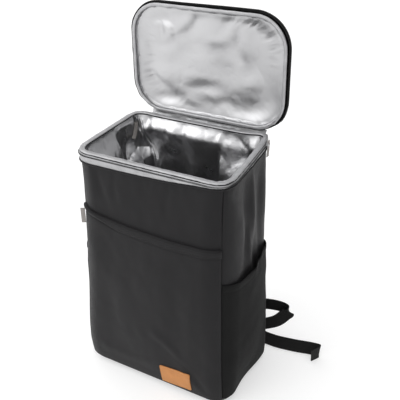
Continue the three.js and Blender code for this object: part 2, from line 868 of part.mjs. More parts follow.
// Directions along the rim and square to it at a place on the bag
function rimDirections(side, share, height) {
  const step = 0.01;
  const along = bagPoint(side, share + step, height).sub(bagPoint(side, share - step, height)).normalize();
  return { along, outward: along.clone().cross(new THREE.Vector3(0, 0, 1)) };
}

// Right slider: outside the rim at the end of the teeth, its pull hanging below it
function rightSliderPlace() {
  const share = zipEndShare + (sliderLength / 2 + gap) / sideLength(sectionAt(rimHeight), right);
  const height = rimAt(right, share) - teethDepth - teethHeight / 2;
  const { along, outward } = rimDirections(right, share, height);
  return { share, height, along, outward, reach: layerGap + tapeThickness + gap };
}

function rightSlider() {
  const { share, height, along, outward, reach } = rightSliderPlace();
  return zipSlider(bagPoint(right, share, height, reach), along.negate(), outward);
}

function rightPull() {
  const { share, height, along, outward, reach } = rightSliderPlace();
  const start = bagPoint(right, share, height + sliderWidth / 2, reach + sliderThickness + gap + pullThickness);
  return ribbonPull(start, outward.multiplyScalar(rightPullSwing), along);
}

// Left slider: the zip's left end turns in over the rim, so slider and pull hang inside
function leftSliderPlace() {
  const share = leftSliderShare;
  const height = rimAt(left, share) - bindingHeight - gap - sliderLength / 2;
  const reach = -(wallThickness + layerGap + linerThickness + 2 * layerGap);
  const { along, outward } = rimDirections(left, share, height);
  return { share, height, along, outward, reach };
}

function leftSlider() {
  const { share, height, outward, reach } = leftSliderPlace();
  const down = new THREE.Vector3(0, 0, -1);
  return zipSlider(bagPoint(left, share, height, reach), down, outward.negate());
}

function leftPull() {
  const { share, height, along, outward, reach } = leftSliderPlace();
  const start = bagPoint(left, share, height - sliderLength / 2 - gap, reach - sliderThickness / 2);
  const swing = along.clone().multiplyScalar(pullSwing).addScaledVector(outward, -pullSwing / 2);
  return ribbonPull(start, swing, along);
}

// Pull of the front pocket's zip, standing out from the front left corner
function pocketPull() {
  const height = zipLineHeight(0) - pocketPullDrop;
  const { along, outward } = rimDirections(front, pocketPullShare, height);
  const across = outward.clone().addScaledVector(along, -pocketPullTurn).normalize();
  const pocketFace = layerGap + pocketThickness;
  const start = bagPoint(front, pocketPullShare, height, pocketFace + gap + pullWidth / 2);
  return ribbonPull(start, along.multiplyScalar(-1), across);
}

// Point behind the back panel given in the strap tables' shares; side is 1 or -1
function behindPoint(side, row, height) {
  const x = side * row.out * bagWidth / 2;
  const backFace = bagPoint(back, 0.5, height).y;
  return new THREE.Vector3(x, backFace + row.behind * strapBow, height);
}

function shoulderStrap(side) {
  const rows = strapRoute.map((row) => {
    const point = behindPoint(side, row, row.height * rimHeight);
    point.y += strapThickness / 2 + layerGap;
    return {
      point,
      across: new THREE.Vector3(1, 0, 0),
      width: row.width * strapWidth,
      thickness: strapThickness,
    };
  });
  return bandSolid(rows, 2, 1);
}

// Frame of the ladder lock at the strap's lower end: run points on along the strap
function lockFrame(side) {
  const end = strapRoute[strapRoute.length - 1];
  const start = behindPoint(side, end, end.height * rimHeight);
  start.y += strapThickness / 2 + layerGap;
  const run = new THREE.Vector3(side * lockRun.out, lockRun.behind, lockRun.up).normalize();
  const normal = new THREE.Vector3(0, 1, 0).addScaledVector(run, -run.y).normalize();
  const across = run.clone().cross(normal).multiplyScalar(side);
  return { start, run, normal, across };
}

function lockShape() {
  const half = webbingWidth / 2 + lockBar;
  const inner = webbingWidth / 2 + slotClearance;
  const length = 3 * lockBar + 2 * lockSlot;
  const shape = new THREE.Shape();
  shape.moveTo(-half, 0);
  shape.lineTo(half, 0);
  shape.lineTo(half, length);
  shape.lineTo(-half, length);
  shape.closePath();
  for (const low of [lockBar, 2 * lockBar + lockSlot]) {
    const slot = new THREE.Path();
    slot.moveTo(-inner, low);
    slot.lineTo(-inner, low + lockSlot);
    slot.lineTo(inner, low + lockSlot);
    slot.lineTo(inner, low);
    slot.closePath();
    shape.holes.push(slot);
  }
  return shape;
}

function ladderLock(side) {
  const { start, run, normal, across } = lockFrame(side);
  const geometry = new THREE.ExtrudeGeometry(lockShape(), { depth: lockThickness, bevelEnabled: false });
  geometry.translate(0, 0, -lockThickness / 2);
  const place = new THREE.Matrix4().makeBasis(across, run, across.clone().cross(run));
  const clear = lockSeat * strapWidth * strapRoute[strapRoute.length - 1].width / 2 + gap;
  const seat = start.clone().addScaledVector(run, clear);
  place.setPosition(seat);
  geometry.applyMatrix4(place);
  return { geometry, seat, run, normal, across };
}

// Webbing: from the anchor round its fold, round the lock's last bar, then the free tail
function strapWebbing(side) {
  const { seat, run, across } = ladderLock(side);
  const outer = across.clone().cross(run).multiplyScalar(side);
  const turn = lockThickness / 2 + webbingThickness / 2 + layerGap;
  const bar = seat.clone().addScaledVector(run, 2.5 * lockBar + 2 * lockSlot);
  const atBar = (along, out) => ({
    point: bar.clone().addScaledVector(run, along).addScaledVector(outer, out),
    across,
  });
  const leaned = (row, point, direction) => {
    const lean = degToRad(row.lean);
    return { point, across: direction(Math.sin(lean), Math.cos(lean)) };
  };
  const sewnEnd = anchorPoint(side, 0, 0, layerGap + anchorThickness + webbingThickness);
  const loop = webbingLoop.map((row, i) => leaned(
    row,
    i + 1 < webbingLoop.length ? behindPoint(side, row, row.height * rimHeight) : sewnEnd,
    (sine, cosine) => new THREE.Vector3(-side * sine, 0, cosine),
  ));
  const tail = webbingTail.map((row) => leaned(
    row,
    behindPoint(side, row, row.height * webbingWidth),
    (sine, cosine) => new THREE.Vector3(0, sine, cosine),
  ));
  const turnRows = [
    atBar(2.5 * lockBar, -turn), atBar(0, -turn), atBar(-0.95 * turn, -0.95 * turn), atBar(-1.3 * turn, 0),
    atBar(-0.95 * turn, 0.95 * turn), atBar(0, turn), atBar(2 * lockBar, turn),
  ];
  const rows = [...loop.reverse(), ...turnRows, ...tail].map((row) => ({
    ...row,
    width: webbingWidth,
    thickness: webbingThickness,
  }));
  return bandSolid(rows, 2);
}

// Point on a webbing anchor, low at the back corner, from its middle outwards
function anchorPoint(side, across, up, outward) {
  const { out, height } = webbingLoop[webbingLoop.length - 1];
  const length = sideLength(sectionAt(height * rimHeight), back);
  const share = 0.5 - side * (out * bagWidth - anchorWidth) / 2 / length;
  return bagPoint(back, share + across / length, height * rimHeight + up, outward);
}

// Tab that holds the webbing's end
function strapAnchor(side) {
  const columns = 3;
  const rows = 2;
  const grid = (outward) => {
    const levels = [];
    for (let r = 0; r <= rows; r++) {
      const level = [];
      for (let c = 0; c <= columns; c++) {
        const across = (c / columns - 0.5) * anchorWidth;
        level.push(anchorPoint(side, across, (r / rows - 0.5) * anchorHeight, outward));
      }
      levels.push(level);
    }
    return levels;
  };
  return sheetSolid(grid(layerGap + anchorThickness), grid(layerGap));
}

// Haul loop: a short webbing handle at the top of the back, between the straps
function haulLoop() {
  const height = rimHeight * haulLoopPlace;
  const face = bagPoint(back, 0.5, height).y + layerGap + haulLoopThickness / 2;
  const half = haulLoopSpan / 2;
  const path = [
    { x: -half, rise: 0 }, { x: -half * 0.72, rise: 0.02 }, { x: -half * 0.45, rise: 0.7 },
    { x: 0, rise: 1 },
    { x: half * 0.45, rise: 0.7 }, { x: half * 0.72, rise: 0.02 }, { x: half, rise: 0 },
  ];
  const rows = path.map(({ x, rise }) => ({
    point: new THREE.Vector3(x, face + rise * haulLoopRise, height),
    across: new THREE.Vector3(0, 0, 1),
    width: haulLoopWidth,
    thickness: haulLoopThickness,
  }));
  return bandSolid(rows, 2);
}

function material(color, roughness, metalness = 0) {
  return new THREE.MeshStandardMaterial({ color, roughness, metalness });
}

const blackCloth = () => material(0x37363a, 0.75);
const stretchCloth = () => material(0x222224, 0.85);
const foil = () => material(0xc4c4c8, 0.3, 0.9);
const silverTape = () => material(0xb8b8ba, 0.45, 0.5);
const webbing = () => material(0x151517, 0.8);
const leather = () => material(0xcb8650, 0.6);
const plastic = () => material(0x111112, 0.5);
const steel = () => material(0xb0b0b0, 0.35, 1);
const greyRibbon = () => material(0xada9a6, 0.8);

const bag = new THREE.Group();

function add(name, geometry, finish, parent = bag) {
  const mesh = new THREE.Mesh(geometry, finish);
  mesh.name = name;
  parent.add(mesh);
  return mesh;
}

add('base_panel', basePanel(), blackCloth());
add('front_panel', wallPanel(front), blackCloth());
add('side_panel_right', wallPanel(right), blackCloth());
add('back_panel', wallPanel(back), blackCloth());
add('side_panel_left', wallPanel(left), blackCloth());
add('liner', liner(), foil());
add('mouth_binding', mouthBinding(), silverTape());
add('mouth_zip_tape', mouthZipTape(), silverTape());
add('mouth_zip_teeth', mouthZipTeeth(), plastic());
add('mouth_piping', mouthPiping(), blackCloth());
add('front_pocket', frontPocket(), blackCloth());
add('front_pocket_zip', pocketZip(), plastic());
add('front_pocket_flap', pocketZipFlap(), blackCloth());
add('leather_patch', leatherPatch(), leather());
add('side_pocket_right', sidePocket(right), stretchCloth());
add('side_pocket_left', sidePocket(left), stretchCloth());

const lid = new THREE.Group();
lid.position.set(0, hingeY(), rimHeight + lidLift);
lid.rotation.x = -lidOpenAngle;
bag.add(lid);
add('lid_shell', lidShell(), blackCloth(), lid);
add('lid_liner', lidLiner(), foil(), lid);
add('lid_zip_tape', lidZipTape(), blackCloth(), lid);
add('lid_binding', lidBinding(), silverTape(), lid);
add('lid_piping', lidPiping(), blackCloth(), lid);
add('lid_hinge', lidHinge(), blackCloth());
add('main_zip_slider_right', rightSlider(), steel());
add('main_zip_slider_left', leftSlider(), steel());
add('main_zip_pull_right', rightPull(), greyRibbon());
add('main_zip_pull_left', leftPull(), greyRibbon());
add('pocket_zip_pull', pocketPull(), greyRibbon());

for (const [name, side] of [['right', 1], ['left', -1]]) {
  add(`shoulder_strap_${name}`, shoulderStrap(side), blackCloth());
  add(`ladder_lock_${name}`, ladderLock(side).geometry, plastic());
  add(`strap_webbing_${name}`, strapWebbing(side), webbing());
  add(`strap_anchor_${name}`, strapAnchor(side), blackCloth());
}
add('haul_loop', haulLoop(), webbing());

export default bag;
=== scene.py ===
# Looks of a cooler backpack that stands open: satin cloth, crumpled foil, tape, leather and webbing.
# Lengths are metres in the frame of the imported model: the floor is z = 0 and the front faces -Y.
import math

import bpy
import numpy as np
from mathutils import Matrix, Vector


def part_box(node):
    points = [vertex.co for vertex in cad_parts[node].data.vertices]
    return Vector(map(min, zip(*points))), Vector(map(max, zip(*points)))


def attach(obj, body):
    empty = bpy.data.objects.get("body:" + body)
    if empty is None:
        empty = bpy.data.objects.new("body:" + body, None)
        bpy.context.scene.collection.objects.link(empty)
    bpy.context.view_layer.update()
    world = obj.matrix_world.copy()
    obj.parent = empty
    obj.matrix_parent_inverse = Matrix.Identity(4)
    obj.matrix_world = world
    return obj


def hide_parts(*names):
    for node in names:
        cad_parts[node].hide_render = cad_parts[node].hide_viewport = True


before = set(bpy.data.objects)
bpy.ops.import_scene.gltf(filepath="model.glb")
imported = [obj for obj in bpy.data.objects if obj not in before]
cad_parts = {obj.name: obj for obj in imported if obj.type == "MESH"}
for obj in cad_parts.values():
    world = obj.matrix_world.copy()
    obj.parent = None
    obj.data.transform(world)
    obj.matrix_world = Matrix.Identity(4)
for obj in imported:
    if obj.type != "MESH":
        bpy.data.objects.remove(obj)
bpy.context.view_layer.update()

MM = 0.001

# Main sizes of the bag
RIM_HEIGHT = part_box("mouth_binding")[1].z
BAG_WIDTH = 298 * MM
BAG_DEPTH = 200 * MM
RIM_FALL = 8 * MM
BODY_CORNER = 52 * MM
BACK_DRAW_IN = 12 * MM
WALL = 5 * MM
BASE_THICKNESS = 4 * MM
BASE_EDGE = 14 * MM
GAP = 0.3 * MM
LAYER_GAP = 0.7 * MM

# Rim trim around the mouth, and the foil liner under it
BINDING_HEIGHT = 4 * MM
BINDING_OVERHANG = 1.6 * MM
TAPE_HEIGHT = 14 * MM
TAPE_THICKNESS = 1.4 * MM
TEETH_HEIGHT = 3 * MM
TEETH_THICKNESS = 1.6 * MM
COIL_PITCH = 1.7 * MM
PIPING = 3 * MM
LID_FLARE = 6 * MM
TAPE_BOTTOM = BINDING_HEIGHT + GAP + TAPE_HEIGHT
TEETH_DEPTH = BINDING_HEIGHT + 2 * GAP + 1 * MM
ZIP_END = 0.87
LINER_THICKNESS = 1.2 * MM
LINER_FOLD_DEPTH = 12 * MM
SEAM_RIDGE = 2.8 * MM
SEAM_HALF = 3.6 * MM
SEAM_TWIST = 0.16
SAG_END = 0.014
LEDGE = 58 * MM
LEDGE_TOP = 0.390
LEDGE_SLOPE = 0.100
MEAN_SIDE = 0.24
LINER_ROWS = 104
DENSE_HALF = 9 * MM

# Pockets and patch
POCKET_THICKNESS = 1.8 * MM
POCKET_BULGE = 3 * MM
POCKET_ZIP_HEIGHT = 9 * MM
FLAP_HEIGHT = 15 * MM
FLAP_THICKNESS = 1.3 * MM
PATCH_WIDTH = 64 * MM
PATCH_HEIGHT = 40 * MM
PATCH_THICKNESS = 1.8 * MM
PATCH_STITCH = 2.6 * MM
PATCH_TILT = math.radians(3)
PATCH_PLACE = 49 * MM
PATCH_RISE = 39 * MM
SIDE_POCKET_THICKNESS = 1.6 * MM
SIDE_POCKET_BULGE = 8 * MM
SIDE_POCKET_OPENING = 9 * MM

# Lid, its liner and hinge
LID_WIDTH = BAG_WIDTH + 4 * MM
LID_LENGTH = 198 * MM
LID_CORNER = BODY_CORNER + 5 * MM
LID_WALL = 20 * MM
LID_CROWN = 9 * MM
LID_SHELL = 2.4 * MM
LID_PADDING = 6 * MM
LID_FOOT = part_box("lid_shell")[0].z
HINGE_WIDTH = 236 * MM
HINGE_CLOTH = 1.2 * MM
HINGE_SAG = 1.6 * MM
HINGE_GATHER = 2.4 * MM
HINGE_GATHER_PITCH = 9 * MM

# Zip sliders, ribbon pulls, straps
SLIDER_LENGTH = 12 * MM
SLIDER_WIDTH = 8 * MM
SLIDER_THICKNESS = 3.4 * MM
SLIDER_PLATE = 0.9 * MM
BRIDGE_HALF = 3.6 * MM
BRIDGE_RISE = 1.9 * MM
BRIDGE_WIRE = 0.5 * MM
PULL_WIDTH = 8 * MM
PULL_LENGTH = 30 * MM
PULL_THICKNESS = 1.2 * MM
PULL_SWING = 12 * MM
STRAP_WIDTH = 60 * MM
STRAP_THICKNESS = 10 * MM
STRAP_BOW = 52 * MM
WEBBING_WIDTH = 25 * MM
WEBBING_THICKNESS = 1.6 * MM
WEBBING_RIB = 2.6 * MM
LOCK_THICKNESS = 4 * MM
LOCK_BAR = 4 * MM
LOCK_SLOT = 7 * MM
ANCHOR_WIDTH = 34 * MM
ANCHOR_HEIGHT = 28 * MM
ANCHOR_THICKNESS = 2 * MM

FRONT, RIGHT, BACK, LEFT = 0, 1, 2, 3
# Length, width and height of a stitch
STITCH = (2.6 * MM, 0.55 * MM, 0.55 * MM)
# Spacing of the fine mesh
FINE = 2.6 * MM
# Step along an outline that gives its direction
PLACE_STEP = 0.004
# Cloth drawn in beside the corner seams: depth and half width
SEAM_DIP = 1.6 * MM
SEAM_DIP_HALF = 3.5 * MM
# Spacing of the channels across the shoulder straps
CHANNEL_PITCH = 62 * MM
# Stitched channel along the straps' edges: distance in from the edge and width
EDGE_CHANNEL = 7 * MM
EDGE_CHANNEL_WIDTH = 1.4 * MM
# Round corners of the patch and the strap anchors
SMALL_CORNER = 3 * MM
# Deepest dent of the outer cloth, less than the padding behind it
DEEPEST_DENT = 3.6 * MM


def table(columns, rows):
    """Named columns of a short table."""
    return dict(zip(columns.split(), np.array(rows, float).T))


# Sections of the bag from the floor to the rim, in shares of the main sizes
BODY = table("height left right front back corner", [
    (0.00, 0.550, 0.500, 0.498, 0.455, 0.74),
    (0.08, 0.556, 0.502, 0.515, 0.465, 0.74),
    (0.18, 0.550, 0.500, 0.518, 0.475, 0.76),
    (0.34, 0.537, 0.498, 0.512, 0.485, 0.84),
    (0.60, 0.522, 0.496, 0.502, 0.495, 0.92),
    (0.80, 0.517, 0.498, 0.492, 0.500, 0.92),
    (1.00, 0.506, 0.482, 0.446, 0.500, 0.62),
])
SWELL = np.array([0.022, 0.015, 0.015, 0.015]) * BAG_DEPTH

CLOTH_WAVES = [(1.3, 0.055, 0.080, 11), (0.35, 0.016, 0.024, 21)]
LINER_FACETS = (6.0, 0.095, 0.120, 0.22, 40)
LINER_CREASES = (1.3, 0.026, 0.034, 0.20, 60)
LINER_GATHERS = [(0.9, 0.010, 0.060, 70)]
LINER_PUFFS = [(5.0, 0.034, 0.040, 73)]
LINER_RUCKS = [(1.5, 0.012, 0.030, 74)]

# Soft upright folds of the outer cloth: place and width along the side, low and high up the bag
CLOTH_FOLDS = table("side place width depth low high", [
    (FRONT, 0.22, 0.07, -0.35, 0.10, 0.72),
    (FRONT, 0.80, 0.06, 0.30, 0.05, 0.60),
    (RIGHT, 0.36, 0.06, -0.60, 0.52, 0.98),
    (RIGHT, 0.52, 0.05, 0.50, 0.55, 1.00),
    (RIGHT, 0.70, 0.06, -0.50, 0.50, 0.95),
    (RIGHT, 0.42, 0.26, -1.40, -0.30, 0.20),
    (LEFT, 0.35, 0.06, -0.50, 0.52, 0.96),
    (LEFT, 0.64, 0.05, 0.45, 0.50, 0.98),
])
LINER_FOLDS = table("side place width depth low high", [
    (FRONT, 0.30, 0.05, 0.5, 0.20, 0.95),
    (FRONT, 0.68, 0.06, 0.6, 0.15, 0.90),
    (RIGHT, 0.30, 0.06, 0.7, 0.25, 0.92),
    (RIGHT, 0.72, 0.05, 0.9, 0.20, 0.90),
    (BACK, 0.24, 0.05, 0.9, 0.30, 0.94),
    (BACK, 0.55, 0.06, 0.7, 0.45, 0.96),
    (BACK, 0.82, 0.04, 1.0, 0.25, 0.90),
    (LEFT, 0.28, 0.04, 1.0, 0.35, 0.97),
    (LEFT, 0.62, 0.06, 0.8, 0.30, 0.95),
])
POCKET_ZIP_LINE = table("share height", [
    (0.00, 0.762), (0.14, 0.748), (0.35, 0.734), (0.60, 0.727), (0.85, 0.724), (1.00, 0.724),
])
# Height of the bright tape round the mouth, as a share of its full height; it rolls under at the right
TAPE_TALL = table("place share", [
    (0.00, 1.00), (0.35, 0.96), (0.70, 0.70), (0.95, 0.38), (1.15, 0.38), (1.50, 0.50), (2.00, 0.62),
    (3.00, 0.72), (3.60, 0.95), (4.00, 1.00),
])
# How far the mouth's corners stand out of round, and how far they are pulled up, from the front left one on
CORNER_POINTS = np.array([2.0, 3.0, 5.0, 2.0]) * MM
CORNER_LIFTS = np.array([0.0, 0.0, 4.0, 1.0]) * MM
# Loose foil below the rim: range of places, how far it stands in, and how far down it does so
LINER_SAGS = table("low high reach depth", [
    (0.04, 1.96, 8, 34), (2.04, 2.12, 10, 30), (2.12, 2.34, 26, 96), (2.34, 2.98, 9, 28),
    (3.08, 3.42, 3, 12), (3.42, 3.96, 22, 62),
])
# How gathered the lid's foil is along its edge
LID_GATHERS = table("place weight", [
    (0.00, 0.90), (0.15, 0.50), (0.45, 0.12), (0.70, 0.65), (1.00, 0.95), (1.25, 0.65), (1.45, 0.10),
    (1.90, 0.15), (2.20, 0.40), (2.50, 0.25), (2.90, 0.30), (3.10, 0.50), (3.50, 0.80), (3.80, 1.00),
    (4.00, 0.90),
])
SIDE_POCKET_HEM = table("share height", [
    (0.00, 0.572), (0.20, 0.562), (0.42, 0.562), (0.62, 0.577), (0.80, 0.588), (1.00, 0.566),
])


def smoothstep(value, low, high):
    part = np.clip((value - low) / (high - low), 0, 1)
    return part * part * (3 - 2 * part)


def mix(low, high, part):
    return low + (high - low) * part


def bell(distance, width):
    """Soft bell from 1 at no distance towards 0."""
    return np.exp(-((distance / width) ** 2))


def unit(vectors):
    return vectors / np.linalg.norm(vectors, axis=-1, keepdims=True)


def full_turn(count):
    return np.linspace(0, 2 * np.pi, count, endpoint=False)


def soft_oblong(angle, squareness, flatness=1.0):
    """Parts across and up of a soft oblong at an angle round it."""
    across, up = np.cos(angle), np.sin(angle)
    power = 2 / squareness
    return np.sign(across) * np.abs(across) ** power, np.sign(up) * np.abs(up) ** (power * flatness)


def table_value(rows, key, place, column):
    """Value of one column at a place, smooth between the rows."""
    x, y = rows[key], rows[column]
    slope = np.gradient(y, x)
    i = np.clip(np.searchsorted(x, place) - 1, 0, len(x) - 2)
    step = x[i + 1] - x[i]
    part = np.clip((place - x[i]) / step, 0, 1)
    square, cube = part ** 2, part ** 3
    start = (2 * cube - 3 * square + 1) * y[i] + (cube - 2 * square + part) * step * slope[i]
    end = (3 * square - 2 * cube) * y[i + 1] + (cube - square) * step * slope[i + 1]
    return start + end


def soft_noise(u, v, seed):
    """Smooth noise from -1 to 1, about one lump to each unit of u and v."""
    size = 64
    lattice = np.random.default_rng(seed).uniform(-1, 1, (size, size))
    u, v = np.broadcast_arrays(u, v)
    column, row = np.floor(u).astype(int), np.floor(v).astype(int)
    a, b = u - column, v - row
    a, b = (part ** 3 * (part * (6 * part - 15) + 10) for part in (a, b))

    def at(i, j):
        return lattice[(row + j) % size, (column + i) % size]

    return mix(mix(at(0, 0), at(1, 0), a), mix(at(0, 1), at(1, 1), a), b)


def crumple(u, v, seed, octaves=3):
    """Facets with sharp creases between them, as in foil film, about 0 to 1."""
    bend = 0.35 * soft_noise(u * 0.7 + 9, v * 0.7, seed + 50)
    total, weight = 0.0, 0.0
    for octave in range(octaves):
        size = 2.1 ** octave
        turned_u = (u + bend) * math.cos(octave) - v * math.sin(octave)
        turned_v = (u + bend) * math.sin(octave) + v * math.cos(octave)
        share = 0.5 ** octave
        total = total + share * np.abs(soft_noise(turned_u * size, turned_v * size, seed + octave))
        weight += share
    return total / weight


def waves(rows, along, up, shift=0):
    """Soft unevenness from rows of a depth in mm, a lump's size along and up, and a seed."""
    return sum(
        depth * MM * soft_noise(along / long, up / tall, seed + shift)
        for depth, long, tall, seed in rows)


def creased(row, along, up):
    """Creased foil about its middle level, from a depth in mm, a facet's size along and up, level and seed."""
    depth, long, tall, level, seed = row
    return depth * MM * (crumple(along / long, up / tall, seed, octaves=2) - level)


def strokes_height(strokes, u, v):
    """Height added by soft folds that each follow a bend through three points."""
    total = np.zeros(np.broadcast(u, v).shape)
    part = np.linspace(0, 1, 22)
    for start, middle, end, width, height in strokes:
        start, middle, end = (np.array(point) for point in (start, middle, end))
        control = 2 * middle - (start + end) / 2
        path = ((1 - part) ** 2)[:, None] * start + (2 * part * (1 - part))[:, None] * control
        path = path + (part ** 2)[:, None] * end
        fade = np.sin(np.pi * np.clip(part, 0.04, 0.96)) ** 0.5
        reach = (u[..., None] - path[:, 0]) ** 2 + (v[..., None] - path[:, 1]) ** 2
        total += height * np.max(fade * np.exp(-reach / width ** 2), axis=-1)
    return total


def section_at(height):
    share = np.clip(height / RIM_HEIGHT, 0, 1)
    scale = {"left": BAG_WIDTH, "right": BAG_WIDTH, "front": BAG_DEPTH, "back": BAG_DEPTH,
             "corner": BODY_CORNER}
    return {name: table_value(BODY, "height", share, name) * size for name, size in scale.items()}


def corner_centre(section, number):
    number = number % 4
    on_right = (number == 1) | (number == 2)
    x = np.where(on_right, section["right"] - section["corner"], section["corner"] - section["left"])
    y = np.where(number >= 2, section["back"] - section["corner"], section["corner"] - section["front"])
    return x, y


def outline(section, place, outward):
    """Points of a rounded outline. The place runs from 0 to 4, one for each side, from the
    middle of one corner's arc to the middle of the next."""
    side = np.floor(place).astype(int)
    share = place - side
    from_x, from_y = corner_centre(section, side)
    to_x, to_y = corner_centre(section, side + 1)
    corner = section["corner"]
    arc = corner * np.pi / 4
    straight = np.hypot(to_x - from_x, to_y - from_y)
    along = share * (2 * arc + straight)
    middle = np.clip((along - arc) / straight, 0, 1)
    turn = np.minimum(along - arc, 0) + np.maximum(along - arc - straight, 0)
    angle = (side - 1) * np.pi / 2 + turn / corner
    reach = corner + outward
    x = mix(from_x, to_x, middle) + reach * np.cos(angle)
    y = mix(from_y, to_y, middle) + reach * np.sin(angle)
    return x, y


def side_length(section, side):
    from_x, from_y = corner_centre(section, side)
    to_x, to_y = corner_centre(section, side + 1)
    return np.hypot(to_x - from_x, to_y - from_y) + section["corner"] * np.pi / 2


def fold_offset(folds, place, height_share, depth):
    side = np.floor(place).astype(int) % 4
    share = place - np.floor(place)
    offset = 0.0
    for i in range(len(folds["side"])):
        low, high = folds["low"][i], folds["high"][i]
        fade = (high - low) / 3
        across = bell(share - folds["place"][i], folds["width"][i])
        ends = smoothstep(height_share, low, low + fade) * (1 - smoothstep(height_share, high - fade, high))
        offset = offset + np.where(side == folds["side"][i], folds["depth"][i] * depth * across * ends, 0.0)
    return offset


def bag_point(place, height, outward=0.0):
    """Points of the bag's outer face, or of a layer that lies outward of it."""
    place, height, outward = np.broadcast_arrays(place, height, outward)
    side = np.floor(place).astype(int) % 4
    share = place - np.floor(place)
    height_share = np.clip(height / RIM_HEIGHT, 0, 1)
    swell = SWELL[side] * np.sin(np.pi * share) ** 2 * np.sin(np.pi * height_share)
    folds = fold_offset(CLOTH_FOLDS, place, height_share, WALL)
    section = section_at(height)
    corner = np.round(place)
    point = CORNER_POINTS[corner.astype(int) % 4] * bell(place - corner, 0.06)
    point = point * smoothstep(height_share, 0.86, 1.0)
    x, y = outline(section, place, outward + swell + folds + point)
    right_share = np.maximum(x / section["right"], 0)
    back_share = smoothstep(y, -section["front"], section["back"])
    return np.stack([x - BACK_DRAW_IN * right_share * back_share * height_share, y, height], -1)


def rim_at(place):
    side = np.floor(place).astype(int) % 4
    share = place - np.floor(place)
    forward = np.choose(side, [np.ones_like(share), 1 - share, np.zeros_like(share), share])
    corner = np.round(place)
    lift = CORNER_LIFTS[corner.astype(int) % 4] * bell(place - corner, 0.12)
    return RIM_HEIGHT - RIM_FALL * forward + lift


def places_round(section, step):
    """Places around an outline, evenly spaced on each side."""
    counts = [int(side_length(section, side) / step) for side in (FRONT, RIGHT, BACK, LEFT)]
    return np.concatenate([side + np.arange(count) / count for side, count in enumerate(counts)])


def rim_places(step=FINE):
    return places_round(section_at(np.array(RIM_HEIGHT)), step)


# Mesh making


def quads(rows, columns, wrap_columns, wrap_rows=False):
    """Faces of a grid, as index rows."""
    down = np.arange(rows if wrap_rows else rows - 1)
    over = np.arange(columns if wrap_columns else columns - 1)
    r, c = np.meshgrid(down, over, indexing="ij")
    right, below = (c + 1) % columns, (r + 1) % rows
    row, next_row = r * columns, below * columns
    return np.stack([row + c, row + right, next_row + right, next_row + c], -1).reshape(-1, 4)


def run_along(points, power=1.0):
    """Length run up to each of a line's points."""
    return np.concatenate([[0], np.cumsum(np.linalg.norm(np.diff(points, axis=0), axis=1) ** power)])


def build(name, points, faces, flat, crisp=50):
    """Mesh object with its faces turned outward and its weave coordinates in metres."""
    points = np.asarray(points, float).reshape(-1, 3)
    faces = [list(face) for face in faces]
    corners = np.array([(face[0], face[i], face[i + 1]) for face in faces for i in range(1, len(face) - 1)])
    a, b, c = (points[corners[:, k]] for k in range(3))
    if np.einsum("ij,ij->", a, np.cross(b, c)) < 0:
        faces = [face[::-1] for face in faces]
    mesh = bpy.data.meshes.new(name)
    mesh.from_pydata(points.tolist(), [], faces)
    used = np.zeros(len(mesh.loops), int)
    mesh.loops.foreach_get("vertex_index", used)
    layer = mesh.uv_layers.new(name="flat")
    layer.data.foreach_set("uv", np.asarray(flat, float).reshape(-1, 2)[used].astype(np.float32).ravel())
    mesh.polygons.foreach_set("use_smooth", [True] * len(mesh.polygons))
    mesh.set_sharp_from_angle(angle=math.radians(crisp))
    mesh.update()
    piece = bpy.data.objects.new(name, mesh)
    bpy.context.scene.collection.objects.link(piece)
    return piece


def flat_of(grid):
    """Weave coordinates of a grid, from the lengths of its middle lines."""
    rows, columns = grid.shape[:2]
    u, v = np.meshgrid(run_along(grid[rows // 2]), run_along(grid[:, columns // 2]))
    return np.stack([u, v], -1)


def sheet_piece(name, outer, inner):
    """Closed sheet between an outer and an inner grid, joined along its edges."""
    rows, columns = outer.shape[:2]
    count = rows * columns
    faces = [quads(rows, columns, False), quads(rows, columns, False)[:, ::-1] + count]
    index = np.arange(count).reshape(rows, columns)
    border = np.concatenate([index[0], index[1:, -1], index[-1, -2::-1], index[-2:0:-1, 0]])
    after = np.roll(border, -1)
    faces.append(np.stack([border, border + count, after + count, after], -1))
    flat = np.concatenate([flat_of(outer).reshape(-1, 2)] * 2)
    points = np.concatenate([outer.reshape(-1, 3), inner.reshape(-1, 3)])
    return build(name, points, np.concatenate(faces), flat)


def fans(first, last, count, top):
    """Faces from one tip to the ring at 0 and from another tip to the ring at top."""
    faces = []
    for i in range(count):
        after = (i + 1) % count
        faces.append([first, after, i])
        faces.append([last, top + i, top + after])
    return faces


def vessel_piece(name, outer, inner):
    """Open vessel from stacks of rings, each from its floor to its rim."""
    rings = np.concatenate([outer, inner[::-1]])
    rows, columns = rings.shape[:2]
    faces = quads(rows, columns, True).tolist()
    points = rings.reshape(-1, 3)
    middles = [rings[0].mean(0), rings[-1].mean(0)]
    first, last = len(points), len(points) + 1
    points = np.concatenate([points, middles])
    faces += fans(first, last, columns, (rows - 1) * columns)
    flat = flat_of(rings).reshape(-1, 2)
    flat = np.concatenate([flat, flat[:1], flat[-1:]])
    return build(name, points, faces, flat)


def tube_piece(name, sections, closed, crisp=50):
    """Tube or band through sections of points; open ends are capped."""
    rows, columns = sections.shape[:2]
    faces = quads(rows, columns, True, closed).tolist()
    if not closed:
        faces.append(list(range(columns))[::-1])
        faces.append(list(range((rows - 1) * columns, rows * columns)))
    return build(name, sections, faces, flat_of(sections), crisp)


def scatter_piece(name, unit_points, unit_faces, origins, axes):
    """Many small copies of a unit shape, joined: axes holds three directions for each copy."""
    points = origins[:, None, :] + np.einsum("vk,nkd->nvd", unit_points, axes)
    step = len(unit_points)
    starts = range(0, len(origins) * step, step)
    faces = [[corner + start for corner in face] for start in starts for face in unit_faces]
    flat = np.zeros((len(origins) * step, 2))
    return build(name, points, faces, flat, crisp=80)


